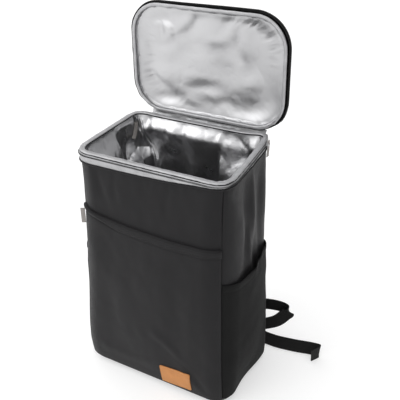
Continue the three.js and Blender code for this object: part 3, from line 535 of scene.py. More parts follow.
def unit_bead(around=8, along=5):
    """Rounded bar from -0.5 to 0.5 on each axis, its length along the first."""
    angle = full_turn(around)
    rows = []
    for part in np.linspace(-1, 1, along + 2)[1:-1]:
        radius = 0.5 * (1 - abs(part) ** 4) ** 0.5
        along_axis = np.full(around, 0.5 * part)
        rows.append(np.stack([along_axis, radius * np.cos(angle), radius * np.sin(angle)], -1))
    rows = np.array(rows)
    points = np.concatenate([rows.reshape(-1, 3), [[-0.5, 0, 0], [0.5, 0, 0]]])
    faces = quads(along, around, True).tolist()
    tip = along * around
    return points, faces + fans(tip, tip + 1, around, (along - 1) * around)


def place_piece(piece, slot, material, *nodes):
    piece.data.materials.append(material)
    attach(piece, "root")
    if nodes:
        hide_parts(*nodes)
    return piece


# Outer cloth


def seam_dip(share, length):
    """How far cloth draws in beside the corner seams."""
    near = np.minimum(share, 1 - share) * length
    return -SEAM_DIP * bell(near, SEAM_DIP_HALF)


def puckers(along, away, seed, pitch=9 * MM, depth=0.5 * MM, reach=16 * MM):
    """Small gathers square to a seam, fading with the distance away from it."""
    wave = soft_noise(along / pitch, along * 0 + away / (5 * reach), seed)
    return depth * wave * np.exp(-np.abs(away) / reach)


def strokes_from(rows, across, up, width, height):
    """Soft folds from rows of three points, a width and a height, each times its size."""
    return [tuple((row[i] * across, row[i + 1] * up) for i in (0, 2, 4)) + (row[6] * width, row[7] * height)
            for row in rows]


def creases(rows):
    return strokes_from(rows, MM, MM, MM, MM)


# Creases of the cloth in mm: along and up of the start, the middle and the end, then width and depth
FRONT_CREASES = creases([
    (16, 130, 62, 85, 104, 18, 11, 3.2),
    (30, 112, 80, 66, 120, 16, 9, -2.4),
    (-98, 425, -94, 400, -80, 372, 8, -1.8),
    (-60, 430, -64, 404, -58, 380, 7, -1.2),
    (52, 428, 40, 402, 44, 372, 8, -1),
    (-135, 300, -75, 215, -45, 110, 22, 1.8),
    (75, 320, 60, 235, 70, 150, 20, -1.6),
    (-20, 330, -30, 250, -10, 180, 24, -1.2),
    (-120, 60, -60, 46, 6, 56, 12, 0.9),
])
SIDE_CREASES = creases([
    (-50, 400, -40, 335, -52, 262, 13, 2.2),
    (-22, 430, -16, 350, -30, 262, 12, -2.4),
    (10, 432, 2, 375, 8, 300, 12, 2.4),
    (40, 432, 30, 360, 34, 290, 13, -2.4),
    (66, 428, 58, 380, 60, 320, 11, 1.8),
    (-12, 350, -10, 300, -4, 250, 6, 2.6),
    (6, 340, 8, 290, 14, 245, 9, -3.4),
    (-70, 430, -60, 412, -36, 404, 7, -1.4),
    (-64, 300, -46, 275, -20, 268, 8, 1.2),
])
BACK_CREASES = creases([
    (-80, 60, 0, 72, 80, 58, 12, -1.2),
    (-120, 210, -110, 150, -118, 90, 12, 1),
    (100, 230, 94, 160, 104, 90, 12, 1),
])
WALL_CREASES = {FRONT: FRONT_CREASES, RIGHT: SIDE_CREASES, BACK: BACK_CREASES, LEFT: SIDE_CREASES}


def cloth_relief(side, share, height):
    """Dents and creases that every cloth layer of a side shares."""
    length = side_length(section_at(np.array(RIM_HEIGHT / 2)), side)
    along = (share - 0.5) * length
    if side in (BACK, LEFT):
        along = -along
    along, height = np.broadcast_arrays(along, height)
    relief = strokes_height(WALL_CREASES[side], along, height)
    relief = relief + waves(CLOTH_WAVES, along, height, side)
    below_rim = RIM_HEIGHT - TAPE_BOTTOM - PIPING - height
    relief = relief + puckers(along, np.maximum(below_rim, 0), 31 + side, depth=0.8 * MM, reach=14 * MM)
    hold = smoothstep(height, 0.010, 0.050) * (1 - smoothstep(height, 0.425, 0.442))
    return np.maximum(relief * hold + seam_dip(share, length), -DEEPEST_DENT)


def side_layer(name, side, low, high, outward, thickness,
               seam_gap=GAP, step=FINE, edge=None, even_inside=False):
    """Cloth layer on one side of the bag between two heights given along it."""
    length = side_length(section_at(np.array(RIM_HEIGHT / 2)), side)
    end = seam_gap / length
    share = np.linspace(end, 1 - end, int(length / step))[None, :]
    tall = float(np.max(high(share) - low(share)))
    rise = np.linspace(0, 1, max(int(tall / step), 6))[:, None]
    height = mix(low(share), high(share), rise)
    base = outward(share, rise)
    relief = cloth_relief(side, share, height)
    rounding = edge(share, rise) if edge else 0.0
    outer = bag_point(side + share, height, base + relief + thickness + rounding)
    inner = bag_point(side + share, height, base + (0 if even_inside else relief))
    return sheet_piece(name, outer, inner)


def soft_edges(*ends, width=0.04, depth=0.8 * MM):
    """Rounding of a layer towards its low or high edge."""
    def rounding(share, rise):
        total = 0.0 * share * rise
        if "low" in ends:
            total = total - depth * bell(rise, width)
        if "high" in ends:
            total = total - depth * bell(1 - rise, width)
        return total
    return rounding


def above_base(share):
    return BASE_EDGE + GAP + 0 * share


def wall(name, side):
    return side_layer(
        name, side,
        low=above_base,
        high=lambda share: rim_at(side + share) - BINDING_HEIGHT - GAP,
        outward=lambda share, rise: -WALL + 0 * share * rise,
        thickness=WALL, step=1.5 * FINE if side == BACK else FINE, even_inside=True,
    )


def base_tray():
    places = rim_places(4 * MM)[None, :]
    turn = np.linspace(0, 1, 9)[:, None]
    inset = BASE_EDGE * (1 - np.sqrt(1 - (1 - turn) ** 2))
    outer = bag_point(places, BASE_EDGE * turn, -inset)
    inner_turn = np.linspace(0, 1, 5)[:, None]
    inner_inset = BASE_THICKNESS + (BASE_EDGE - BASE_THICKNESS) * (1 - inner_turn) ** 2
    inner = bag_point(places, mix(BASE_THICKNESS, BASE_EDGE, inner_turn), -inner_inset)
    return vessel_piece("base_tray", outer, inner)


# Front pocket


def zip_line(share):
    return table_value(POCKET_ZIP_LINE, "share", share, "height") * RIM_HEIGHT


def flap_reach(share):
    return FLAP_HEIGHT * mix(0.4, 1, smoothstep(share, 0.08, 0.32))


def pocket_hollow(share, rise):
    return POCKET_BULGE * np.sin(np.pi * share) * np.sin(np.pi * rise)


def pocket_top(share):
    return zip_line(share) - POCKET_ZIP_HEIGHT - GAP


def front_pocket():
    return side_layer(
        "front_pocket_cloth", FRONT,
        low=above_base,
        high=pocket_top,
        outward=lambda share, rise: LAYER_GAP + pocket_hollow(share, rise),
        thickness=POCKET_THICKNESS, seam_gap=1 * MM, step=2.2 * MM,
        edge=soft_edges("high", width=0.012, depth=1.0 * MM),
    )


def pocket_zip():
    return side_layer(
        "front_pocket_coil", FRONT,
        low=lambda share: zip_line(share) - POCKET_ZIP_HEIGHT,
        high=lambda share: zip_line(share) - 2 * MM,
        outward=lambda share, rise: LAYER_GAP + 0 * share * rise,
        thickness=POCKET_THICKNESS - GAP, seam_gap=1 * MM,
    )


def flap_face():
    return 2 * LAYER_GAP + POCKET_THICKNESS


def pocket_flap():
    def roll(share, rise):
        groove = 0.7 * MM * bell(rise - 0.62, 0.05)
        edges = soft_edges("low", "high", width=0.10)(share, rise)
        return 0.7 * MM * np.sin(np.pi * rise) ** 0.5 - groove + edges

    return side_layer(
        "front_pocket_garage", FRONT,
        low=lambda share: zip_line(share) - flap_reach(share),
        high=zip_line,
        outward=lambda share, rise: mix(flap_face(), GAP, smoothstep(rise, 0.87, 0.97)) + 0 * share,
        thickness=FLAP_THICKNESS, seam_gap=1 * MM, step=1.4 * MM, edge=roll,
    )


def front_place(x, height):
    """Place along the front for a given x on its straight part."""
    section = section_at(height)
    from_x, _ = corner_centre(section, FRONT)
    arc = section["corner"] * np.pi / 4
    return FRONT + (arc + x - from_x) / side_length(section, FRONT)


def front_pocket_point(x, height, outward):
    place = front_place(x, height)
    top = pocket_top(place)
    rise = np.maximum((height - BASE_EDGE - GAP) / (top - BASE_EDGE - GAP), 0)
    relief = cloth_relief(FRONT, place, height)
    out = LAYER_GAP + pocket_hollow(place, rise) + POCKET_THICKNESS + relief + outward
    return bag_point(place, height, out)


def patch_place(u, v):
    """A point of the patch, from its middle, as x and height on the front."""
    x = PATCH_PLACE + u * math.cos(PATCH_TILT) - v * math.sin(PATCH_TILT)
    height = PATCH_RISE + u * math.sin(PATCH_TILT) + v * math.cos(PATCH_TILT)
    return x, height


def rounded_square(u, v, half_u, half_v, radius):
    """Square grid from -1 to 1 drawn onto a rectangle with round corners."""
    x, y = u * half_u, v * half_v
    over_x = np.maximum(np.abs(x) - (half_u - radius), 0)
    over_y = np.maximum(np.abs(y) - (half_v - radius), 0)
    far = np.hypot(over_x, over_y)
    pull = np.where(far > 0, np.maximum(over_x, over_y) / np.maximum(far, 1e-9), 1)
    x = np.sign(x) * (np.minimum(np.abs(x), half_u - radius) + over_x * pull)
    y = np.sign(y) * (np.minimum(np.abs(y), half_v - radius) + over_y * pull)
    return x, y


def leather_patch():
    u, v = np.meshgrid(np.linspace(-1, 1, 84), np.linspace(-1, 1, 54))
    x, y = rounded_square(u, v, PATCH_WIDTH / 2, PATCH_HEIGHT / 2, SMALL_CORNER)
    edge = np.minimum((1 - np.abs(u)) * PATCH_WIDTH / 2, (1 - np.abs(v)) * PATCH_HEIGHT / 2)
    stitch_dent = 0.45 * MM * bell(edge - PATCH_STITCH, 0.9 * MM)
    round_edge = 0.8 * MM * (1 - np.clip(edge / (0.9 * MM), 0, 1)) ** 2
    waves = 0.12 * MM * soft_noise(x / 0.009, y / 0.009, 77)
    place_x, height = patch_place(x, y)
    outer = front_pocket_point(place_x, height, GAP + PATCH_THICKNESS - stitch_dent - round_edge + waves)
    inner = front_pocket_point(place_x, height, GAP + 0 * x)
    return sheet_piece("leather_patch_face", outer, inner)


def stitches(name, points, outward, size=STITCH, spacing=1.35):
    """Row of stitches along points, standing a little proud of the cloth."""
    run = run_along(points)
    count = max(int(run[-1] / (size[0] * spacing)), 1)
    at = (np.arange(count) + 0.5) * run[-1] / count

    def along_run(values, where):
        return np.stack([np.interp(where, run, values[:, axis]) for axis in range(3)], -1)

    middle = along_run(points, at)
    reach = size[0] / 2
    along = along_run(points, np.minimum(at + reach, run[-1])) - along_run(points, np.maximum(at - reach, 0))
    along = unit(along)
    face = along_run(outward, at)
    face -= along * np.sum(face * along, axis=1, keepdims=True)
    face = unit(face)
    across = np.cross(face, along)
    axes = np.stack([along * size[0], across * size[1], face * size[2]], 1)
    bead_points, bead_faces = unit_bead(6, 3)
    return scatter_piece(name, bead_points, bead_faces, middle, axes)


def patch_stitches():
    inset_u, inset_v = PATCH_WIDTH / 2 - PATCH_STITCH, PATCH_HEIGHT / 2 - PATCH_STITCH
    corners = [(-1, -1), (1, -1), (1, 1), (-1, 1), (-1, -1)]
    line = [np.linspace(corners[i], corners[i + 1], 24, endpoint=False) for i in range(4)]
    line = np.concatenate(line + [[corners[0]]])
    x, height = patch_place(line[:, 0] * inset_u, line[:, 1] * inset_v)
    points = front_pocket_point(x, height, GAP + PATCH_THICKNESS - 0.25 * MM)
    lifted = front_pocket_point(x, height, GAP + PATCH_THICKNESS + 1 * MM)
    return stitches("leather_patch_stitches", points, lifted - points)


def front_line_stitches(name, line, outward, size=STITCH):
    share = np.linspace(0.012, 0.988, 160)
    height = line(share)
    relief = cloth_relief(FRONT, share, height)
    points = bag_point(FRONT + share, height, outward(share) + relief)
    lifted = bag_point(FRONT + share, height, outward(share) + relief + 1 * MM)
    return stitches(name, points, lifted - points, size)


# Side pockets


def from_front(side, share):
    return share if side == RIGHT else 1 - share


def hem_height(side, share):
    return table_value(SIDE_POCKET_HEM, "share", from_front(side, share), "height") * RIM_HEIGHT


def side_pocket_bulge(side, share, rise):
    belly = np.sin(np.pi * share) * np.sin(np.pi * np.minimum(rise + 0.1, 1))
    opening = np.sin(np.pi * np.minimum(from_front(side, share) / 0.92, 1) ** 1.4) * rise ** 3
    slack = 1.3 * MM * soft_noise(share * 4, rise * 7, 45) * np.sin(np.pi * share)
    return SIDE_POCKET_BULGE * belly + SIDE_POCKET_OPENING * opening + slack


def side_pocket(name, side):
    return side_layer(
        name, side,
        low=above_base,
        high=lambda share: hem_height(side, share),
        outward=lambda share, rise: LAYER_GAP + side_pocket_bulge(side, share, rise),
        thickness=SIDE_POCKET_THICKNESS, seam_gap=1 * MM,
        edge=hem_relief,
    )


def hem_relief(share, rise):
    """Doubled hem: a flat band along the top edge with a stitched dip under it."""
    band = 0.6 * MM * smoothstep(rise, 0.945, 0.955)
    dip = 0.5 * MM * bell(rise - 0.945, 0.008)
    top = 0.9 * MM * bell(1 - rise, 0.006)
    return band - dip - top + 0 * share


# Rim trim


def ring_tube(name, places, ring, half_height, half_width, squareness, around, ripple):
    """Closed tube with a soft oblong section, through the points that ring gives."""
    angle = full_turn(around)[None, :]
    side_part, rise_part = soft_oblong(angle, squareness)
    extra = ripple(places, angle) if ripple else 0.0
    return tube_piece(name, ring((half_width + extra) * side_part, (half_height + extra) * rise_part), True)


def rim_tube(name, drop, outward, half_height, half_width, squareness=2.6, around=14, ripple=None):
    """Closed tube round the mouth with a soft oblong section."""
    places = rim_places()[:, None]

    def ring(out, up):
        return bag_point(places, rim_at(places) - drop + up, outward + out)

    return ring_tube(name, places, ring, half_height, half_width, squareness, around, ripple)


def binding_ripple(places, angle):
    """Gathers of the foil binding, deeper where it turns the front right corner, and its stitched groove."""
    corner = bell(places - 1.02, 0.10)
    fine = soft_noise(places * 46, np.cos(angle) * 1.2 + 3, 5)
    groove = 0.9 * MM * bell(angle - 1.85, 0.22)
    return (0.35 + 0.75 * corner) * MM * fine - groove


def mouth_binding():
    inner = WALL + LAYER_GAP + LINER_THICKNESS + BINDING_OVERHANG
    middle = (BINDING_OVERHANG - inner) / 2
    half = (BINDING_OVERHANG + inner) / 2
    return rim_tube("mouth_binding_roll", BINDING_HEIGHT / 2, middle, BINDING_HEIGHT / 2, half,
                    squareness=2.2, around=26, ripple=binding_ripple)


def tape_height():
    """Height of the tape at each place of the rim, as a column."""
    return TAPE_HEIGHT * table_value(TAPE_TALL, "place", rim_places(), "share")[:, None]


def mouth_tape():
    drop = BINDING_HEIGHT + GAP + tape_height() / 2
    middle = LAYER_GAP + TAPE_THICKNESS / 2
    return rim_tube("mouth_tape_band", drop, middle, tape_height() / 2, TAPE_THICKNESS / 2, squareness=5,
                    ripple=lambda places, angle: 0.30 * MM * soft_noise(places * 30, angle * 0, 8))


def mouth_piping():
    drop = BINDING_HEIGHT + 2 * GAP + tape_height() + PIPING / 2
    return rim_tube("mouth_piping_cord", drop, LAYER_GAP + PIPING / 2, PIPING / 2, PIPING / 2, squareness=2)


def rim_frames(places, drop, outward):
    """Points on the rim with the directions along it, outward and up."""
    height = rim_at(places) - drop
    points = bag_point(places, height, outward)
    after = bag_point(places + PLACE_STEP, height, outward)
    along = after - bag_point(places - PLACE_STEP, height, outward)
    along = unit(along)
    up = np.tile([0.0, 0.0, 1.0], (len(points), 1))
    face = np.cross(along, up)
    return points, along, face, up


def zip_coil(name, points, along, face, up, height=TEETH_HEIGHT):
    """Nylon coil: small slanted bars side by side."""
    slant = along * 0.25 + up
    slant = unit(slant)
    axes = np.stack([slant * height, along * COIL_PITCH * 0.72, face * TEETH_THICKNESS], 1)
    bead_points, bead_faces = unit_bead(6, 3)
    return scatter_piece(name, bead_points, bead_faces, points, axes)


def mouth_coil():
    places = rim_places(COIL_PITCH)
    open_part = (places > RIGHT + ZIP_END) & (places < LEFT + 1 - ZIP_END)
    places = places[~open_part]
    outward = LAYER_GAP + TAPE_THICKNESS + GAP + TEETH_THICKNESS / 2
    frames = rim_frames(places, TEETH_DEPTH + TEETH_HEIGHT / 2, outward)
    return zip_coil("mouth_zip_coil", *frames)


# Liner


def liner_sag(places, below):
    """Loose foil that stands in under the rim and tucks back under itself further down."""
    around = places * MEAN_SIDE
    uneven = 1 + 0.30 * soft_noise(around / 0.05, 0 * below + 4, 71)
    total = 0.0
    for i in range(len(LINER_SAGS["low"])):
        low, high, reach, depth = (LINER_SAGS[name][i] for name in ("low", "high", "reach", "depth"))
        within = smoothstep(places, low - SAG_END, low + SAG_END)
        within = within * (1 - smoothstep(places, high - SAG_END, high + SAG_END))
        tuck = 1 - 0.7 * smoothstep(below, depth * MM, (depth + 50) * MM)
        total = total + within * reach * MM * (smoothstep(below, 4 * MM, depth * MM) * tuck)
    puffs = np.abs(waves(LINER_PUFFS, around, below)) * bell(below - 0.024, 0.020)
    puffs = puffs + waves(LINER_RUCKS, around, below) * bell(below - 0.020, 0.014)
    calm = mix(1, 0.4, smoothstep(places, 2.97, 3.02))
    return total * uneven + puffs * calm


def liner_ledge(places, height):
    """Bunched foil with a flat top that widens along the left wall from the back corner."""
    reach = LEDGE * np.clip((places - 2.84) / 0.24, 0, 1) * (1 - smoothstep(places, 3.55, 3.75))
    top = LEDGE_TOP - LEDGE_SLOPE * np.clip(places - LEFT, 0, 0.5)
    top = top + 2 * MM * soft_noise(places * 9, 0 * height, 75)
    return reach * np.clip((top - height) / (12 * MM), 0, 1) * smoothstep(height, 0.12, 0.30)


def liner_inset(places, from_seam, height):
    """How far the foil stands in from the outer face: sag, big folds, facets and corner seams."""
    below = rim_at(places) - height
    around = places * MEAN_SIDE
    toe = BASE_EDGE * (1 - smoothstep(height, 0, BASE_EDGE * 2))
    folds = fold_offset(LINER_FOLDS, places, height / RIM_HEIGHT, LINER_FOLD_DEPTH)
    held = smoothstep(below, 0.010, 0.070)
    facets = creased(LINER_FACETS, around, height) * held
    fine = creased(LINER_CREASES, around, height) * smoothstep(below, 0.004, 0.02)
    gathers = waves(LINER_GATHERS, around, height) * bell(below - 0.016, 0.012)
    band = SEAM_RIDGE * (1 - smoothstep(from_seam, SEAM_HALF - 0.8 * MM, SEAM_HALF + 0.8 * MM))
    band = band - 1.0 * MM * bell(from_seam, 0.8 * MM)
    beside = 2.4 * MM * bell(from_seam - SEAM_HALF - 2.4 * MM, 1.6 * MM)
    seam = (band - beside) * smoothstep(below, 0.004, 0.03)
    ledge = liner_ledge(places, height)
    calm = 1 - 0.8 * smoothstep(ledge, 0, 8 * MM)
    inset = toe + (folds + facets + fine) * calm + gathers + ledge + liner_sag(places, below)
    return WALL + LAYER_GAP + np.maximum(inset + 1 * MM, 0) + np.maximum(seam, -np.maximum(inset, 0))


def liner():
    near_seam = DENSE_HALF / MEAN_SIDE
    spread = np.linspace(-near_seam, near_seam, 23)
    dense = (np.arange(4)[:, None] + spread).ravel() % 4
    even = rim_places(2.8 * MM)
    even = even[np.abs(even - np.round(even)) > near_seam]
    places = np.sort(np.concatenate([even, dense]))[None, :]
    from_corner = places - np.round(places)
    from_seam = np.abs(from_corner) * MEAN_SIDE
    top = rim_at(places) - BINDING_HEIGHT - GAP
    floor = BASE_THICKNESS + LAYER_GAP

    def stack(depth):
        rise = np.linspace(0, 1, LINER_ROWS)[:, None] ** 0.66
        height = mix(floor + depth, top, rise)
        lean = SEAM_TWIST * smoothstep(top - height, 0, 0.090) * np.cos(np.pi * from_corner) ** 2
        leaning_places = (places - lean) % 4
        inset = liner_inset(leaning_places, from_seam, height)
        wall_rings = bag_point(leaning_places, height, -inset - depth)
        rim = wall_rings[0]
        middle = rim.mean(0)
        reach = np.linspace(0.03, 1, 14)[:-1, None, None]
        floor_rings = middle + (rim - middle) * reach
        lumps = crumple(floor_rings[..., 0] / 0.045, floor_rings[..., 1] / 0.045, 90)
        floor_rings[..., 2] += 5 * MM * lumps * (1 - reach[..., 0] ** 6)
        return np.concatenate([floor_rings, wall_rings])

    return vessel_piece("foil_liner", stack(0), stack(LINER_THICKNESS))


# Lid: modelled shut over the mouth with its hinge side at y = 0 and its rim at z = 0


LID = {
    "left": np.array(LID_WIDTH / 2), "right": np.array(LID_WIDTH / 2),
    "front": np.array(LID_LENGTH), "back": np.array(0.0), "corner": np.array(LID_CORNER),
}
CROWN_ROUND = 4 * MM


def hinge_y():
    return float(bag_point(np.array(BACK + 0.5), np.array(RIM_HEIGHT))[1]) + 3 * MM


def open_lid(points):
    """Swings the shut lid up by a quarter turn about its hinge side."""
    return np.stack([points[..., 0], hinge_y() + points[..., 2], LID_FOOT - points[..., 1]], -1)


def lid_places(step=FINE):
    return places_round(LID, step)


def lid_ring(places, height, outward):
    x, y = outline(LID, places, outward)
    x, y, height = np.broadcast_arrays(x, y, height)
    return np.stack([x, y, height], -1)


def crown(x, y):
    along = y / LID_LENGTH + 0.5
    return LID_CROWN * np.cos(np.pi * x / LID_WIDTH) * np.cos(np.pi * along)


def lid_field(places, inset, reach, surface):
    """Surface over the lid's plan, drawn in from a ring towards the middle."""
    ring = lid_ring(places[None, :], 0.0, -inset)
    middle = np.array([0, -LID_LENGTH / 2, 0])
    field = middle + (ring - middle) * reach[:, None, None]
    field[..., 2] = surface(field[..., 0], field[..., 1], places[None, :], reach[:, None])
    return field


def lid_shell():
    places = lid_places()
    reach = np.linspace(0.02, 1, 30)
    turn = np.linspace(0, np.pi / 2, 6)[:, None]

    def stack(inset):
        def top(x, y, place, reach):
            sag = 0.8 * MM * soft_noise(x / 0.07, y / 0.07, 12) * (1 - reach ** 4)
            return LID_WALL + crown(x, y) + sag - inset
        cap = lid_field(places, CROWN_ROUND + inset, reach, top)
        edge_height = LID_WALL - inset - CROWN_ROUND * (1 - np.cos(turn))
        edge = lid_ring(places[None, :], edge_height, -inset - CROWN_ROUND * (1 - np.sin(turn)))
        heights = np.linspace(LID_WALL - CROWN_ROUND - inset, TAPE_HEIGHT + GAP, 6)[1:, None]
        side = lid_ring(places[None, :], heights, -inset + 0 * places[None, :])
        return np.concatenate([cap, edge[1:], side])

    rings = stack(0.0), stack(LID_SHELL)
    return vessel_piece("lid_shell_cloth", *[open_lid(part) for part in rings])


# Soft folds of the lid's foil: across and along of the start, the middle and the end, in shares of its
# width and length from its middle, then the width in mm and the height as a share of the padding
LID_FOLDS = [
    (-0.076, 0.452, -0.105, 0.315, -0.259, 0.186, 7.0, -0.80),
    (-0.110, 0.440, -0.150, 0.320, -0.265, 0.235, 9.0, 0.65),
    (0.158, 0.465, 0.118, 0.370, 0.090, 0.290, 7.5, -0.60),
    (0.200, 0.440, 0.150, 0.350, 0.110, 0.265, 8.0, 0.45),
    (0.110, 0.250, 0.060, 0.215, -0.010, 0.205, 7.0, 0.40),
    (-0.380, 0.345, -0.265, 0.345, -0.220, 0.245, 5.0, -0.55),
    (-0.365, 0.300, -0.280, 0.300, -0.250, 0.225, 5.0, 0.40),
    (-0.316, 0.320, -0.311, 0.250, -0.316, 0.185, 4.0, -0.45),
    (-0.135, 0.085, -0.040, 0.110, 0.060, 0.120, 15.0, -0.55),
    (-0.400, 0.140, -0.300, 0.120, -0.230, 0.160, 6.0, -0.45),
    (-0.400, 0.060, -0.320, -0.050, -0.200, -0.010, 9.0, -0.55),
    (-0.200, -0.005, 0.000, 0.085, 0.190, 0.050, 11.0, 0.55),
    (0.170, 0.290, 0.180, 0.150, 0.205, 0.050, 7.0, -0.65),
    (0.215, 0.420, 0.225, 0.240, 0.230, 0.060, 8.0, 0.55),
    (0.305, 0.350, 0.318, 0.180, 0.322, 0.040, 6.0, -0.35),
    (0.510, 0.205, 0.390, 0.110, 0.330, -0.040, 12.0, -0.60),
    (0.330, -0.020, 0.300, -0.110, 0.215, -0.175, 11.0, 0.70),
    (0.120, -0.185, -0.100, -0.175, -0.300, -0.150, 14.0, 0.60),
    (-0.446, -0.090, -0.350, -0.230, -0.235, -0.315, 8.0, -0.70),
    (-0.400, -0.090, -0.310, -0.200, -0.210, -0.270, 7.0, 0.45),
    (-0.398, -0.404, -0.265, -0.375, -0.142, -0.330, 7.0, -0.60),
    (-0.142, -0.330, -0.080, -0.390, 0.016, -0.425, 8.0, 0.55),
    (-0.120, -0.258, -0.030, -0.215, 0.084, -0.218, 8.0, -0.65),
    (-0.110, -0.300, -0.020, -0.275, 0.050, -0.290, 8.0, 0.45),
    (0.061, -0.394, 0.104, -0.330, 0.177, -0.354, 7.0, -0.60),
    (0.244, -0.253, 0.350, -0.262, 0.459, -0.262, 6.0, 0.45),
    (0.244, -0.290, 0.350, -0.300, 0.455, -0.310, 9.0, -0.40),
    (0.463, 0.339, 0.415, 0.275, 0.490, 0.235, 5.0, -0.55),
    (0.470, 0.385, 0.400, 0.330, 0.440, 0.215, 5.0, 0.45),
]
LID_PUFFS = table("across along spread height", [
    (-0.24, 0.22, 0.15, 0.9), (0.02, 0.26, 0.16, 0.8), (0.26, 0.20, 0.15, 0.5), (-0.30, -0.08, 0.13, 0.6),
    (-0.06, -0.06, 0.20, 0.9), (0.22, -0.14, 0.18, 0.4), (-0.18, -0.34, 0.12, 0.4), (0.08, -0.36, 0.13, 0.4),
])
LID_LINER_SET = 1 * MM
LID_BINDING_INNER = LID_SHELL + LAYER_GAP + LID_LINER_SET + 1.5 * MM
FOLD_SPREAD = 1.6
LID_LEAN = 6.5 * MM
GATHER_PITCH = 7 * MM
THINNEST_PAD = 2.5 * MM
# Foil face below the roof where the pad meets its side, and that side's height over the rim
LID_EDGE_DEPTH = 9.2 * MM
PAD_SIDE_TOP = 7.4 * MM


def lid_pad_depth(x, y, place, reach):
    """Height of the foil pad's face below the lid's roof."""
    across, along = x / LID_WIDTH, -(y / LID_LENGTH + 0.5)
    depth = LID_PADDING
    for i in range(len(LID_PUFFS["height"])):
        from_x = (across - LID_PUFFS["across"][i]) * LID_WIDTH
        from_y = (along - LID_PUFFS["along"][i]) * LID_LENGTH
        puff = bell(np.hypot(from_x, from_y), LID_PUFFS["spread"][i] * LID_LENGTH)
        depth = depth + LID_PUFFS["height"][i] * LID_PADDING * puff
    strokes = strokes_from(LID_FOLDS, LID_WIDTH, LID_LENGTH, FOLD_SPREAD * MM, 1)
    depth = depth + strokes_height(strokes, x, along * LID_LENGTH) * LID_PADDING * 0.66
    depth = depth + 0.7 * MM * (crumple(across * 9, along * 6, 120) - 0.28)
    depth = np.maximum(depth - LID_LEAN * smoothstep(across, 0.14, 0.42), THINNEST_PAD)
    edge = smoothstep(reach, 0.72, 0.99)
    run = place * MEAN_SIDE / GATHER_PITCH
    gather = 2.4 * MM * soft_noise(run, reach * 5, 130) + 1.0 * MM * soft_noise(run * 2.3, reach * 9, 131)
    gather = gather * table_value(LID_GATHERS, "place", place, "weight")
    return mix(depth, LID_EDGE_DEPTH, edge ** 2) + gather * edge * (1.15 - edge)


def lid_liner():
    places = lid_places(2.7 * MM)
    side = LID_SHELL + LAYER_GAP + LID_LINER_SET
    corner = side + CROWN_ROUND
    reach = np.linspace(0.02, 1, 76)

    def roof(x, y, place, reach):
        return LID_WALL + crown(x, y) - LID_SHELL - LAYER_GAP

    def face(x, y, place, reach):
        return roof(x, y, place, reach) - lid_pad_depth(x, y, place, reach)

    outer_cap = lid_field(places, corner, reach * 0.97, roof)
    inner_cap = lid_field(places, side + 3.5 * MM, reach * 0.985, face)
    heights = np.linspace(TAPE_HEIGHT, BINDING_HEIGHT, 8)[:, None]
    outer_side = lid_ring(places[None, :], heights, -side)
    gathers = 1.6 * MM * soft_noise(places[None, :] * MEAN_SIDE / GATHER_PITCH, heights * 0, 130)
    near_pad = smoothstep(heights, BINDING_HEIGHT, TAPE_HEIGHT)
    pad_rise = (heights - BINDING_HEIGHT) / (TAPE_HEIGHT - BINDING_HEIGHT)
    pad_heights = mix(BINDING_HEIGHT, PAD_SIDE_TOP, pad_rise)
    inner_side = lid_ring(places[None, :], pad_heights, -side - 1.5 * MM - (1.2 * MM + gathers) * near_pad)
    outer = np.concatenate([outer_cap, outer_side])
    inner = np.concatenate([inner_cap, inner_side])
    return vessel_piece("lid_foil_pad", open_lid(outer), open_lid(inner))


def lid_tube(name, height, outward, half_height, half_width, squareness=2.4, around=14, ripple=None):
    places = lid_places()[:, None]

    def ring(out, up):
        return open_lid(lid_ring(places, height + up, outward + out))

    return ring_tube(name, places, ring, half_height, half_width, squareness, around, ripple)


def lid_binding_ripple(places, angle):
    corner = bell(places - 2.02, 0.10) + 0.5 * bell(places - 3.0, 0.12)
    return (0.18 + 0.6 * corner) * MM * soft_noise(places * 46, np.cos(angle) * 1.2 + 3, 15)


def lid_binding():
    overhang = BINDING_OVERHANG / 2
    height = (BINDING_HEIGHT - GAP) / 2
    middle = (overhang - LID_BINDING_INNER) / 2
    half = (overhang + LID_BINDING_INNER) / 2
    return lid_tube("lid_binding_roll", height, middle, height, half,
                    squareness=2.2, around=18, ripple=lid_binding_ripple)


def lid_inner_tape():
    """Second bright line inside the lid: the tape's folded edge along the binding."""
    def ripple(places, angle):
        return 0.12 * MM * soft_noise(places * 40, angle * 0, 18)

    return lid_tube("lid_inner_tape", BINDING_HEIGHT + 1.4 * MM, -LID_BINDING_INNER - 0.3 * MM,
                    1.5 * MM, 0.5 * MM, squareness=3, ripple=ripple)


def lid_flare(places):
    """How far the lid's zip tape stands out: little on the left, more on the right, none at the hinge."""
    x, y = outline(LID, places, 0.0)
    wide = mix(0.55, 1, smoothstep(x / LID_WIDTH, -0.40, 0.25))
    return LID_FLARE * wide * (1 - 0.7 * smoothstep(y / LID_LENGTH, -0.14, -0.02))


def lid_tape():
    """Black half of the zip: a band that flares out from the lid's wall to a free edge."""
    places = lid_places()[:, None]
    angle = full_turn(14)[None, :]
    along, thick = oblong(np.array([0.5]), np.array([TAPE_THICKNESS / 2]), 14, 4)
    part = along + 0.5
    flare = lid_flare(places) * (1 - part) ** 1.5
    height = mix(BINDING_HEIGHT - 1.2 * MM, TAPE_HEIGHT, part) + 0 * angle * places
    lean = 0.5 * MM * soft_noise(places * 16, places * 0, 19)
    rings = lid_ring(places, height, flare + thick + lean * (1 - part))
    return tube_piece("lid_tape_band", open_lid(rings), True)


def lid_piping():
    return lid_tube("lid_piping_cord", TAPE_HEIGHT, GAP + PIPING / 2, PIPING / 2, PIPING / 2, squareness=2)


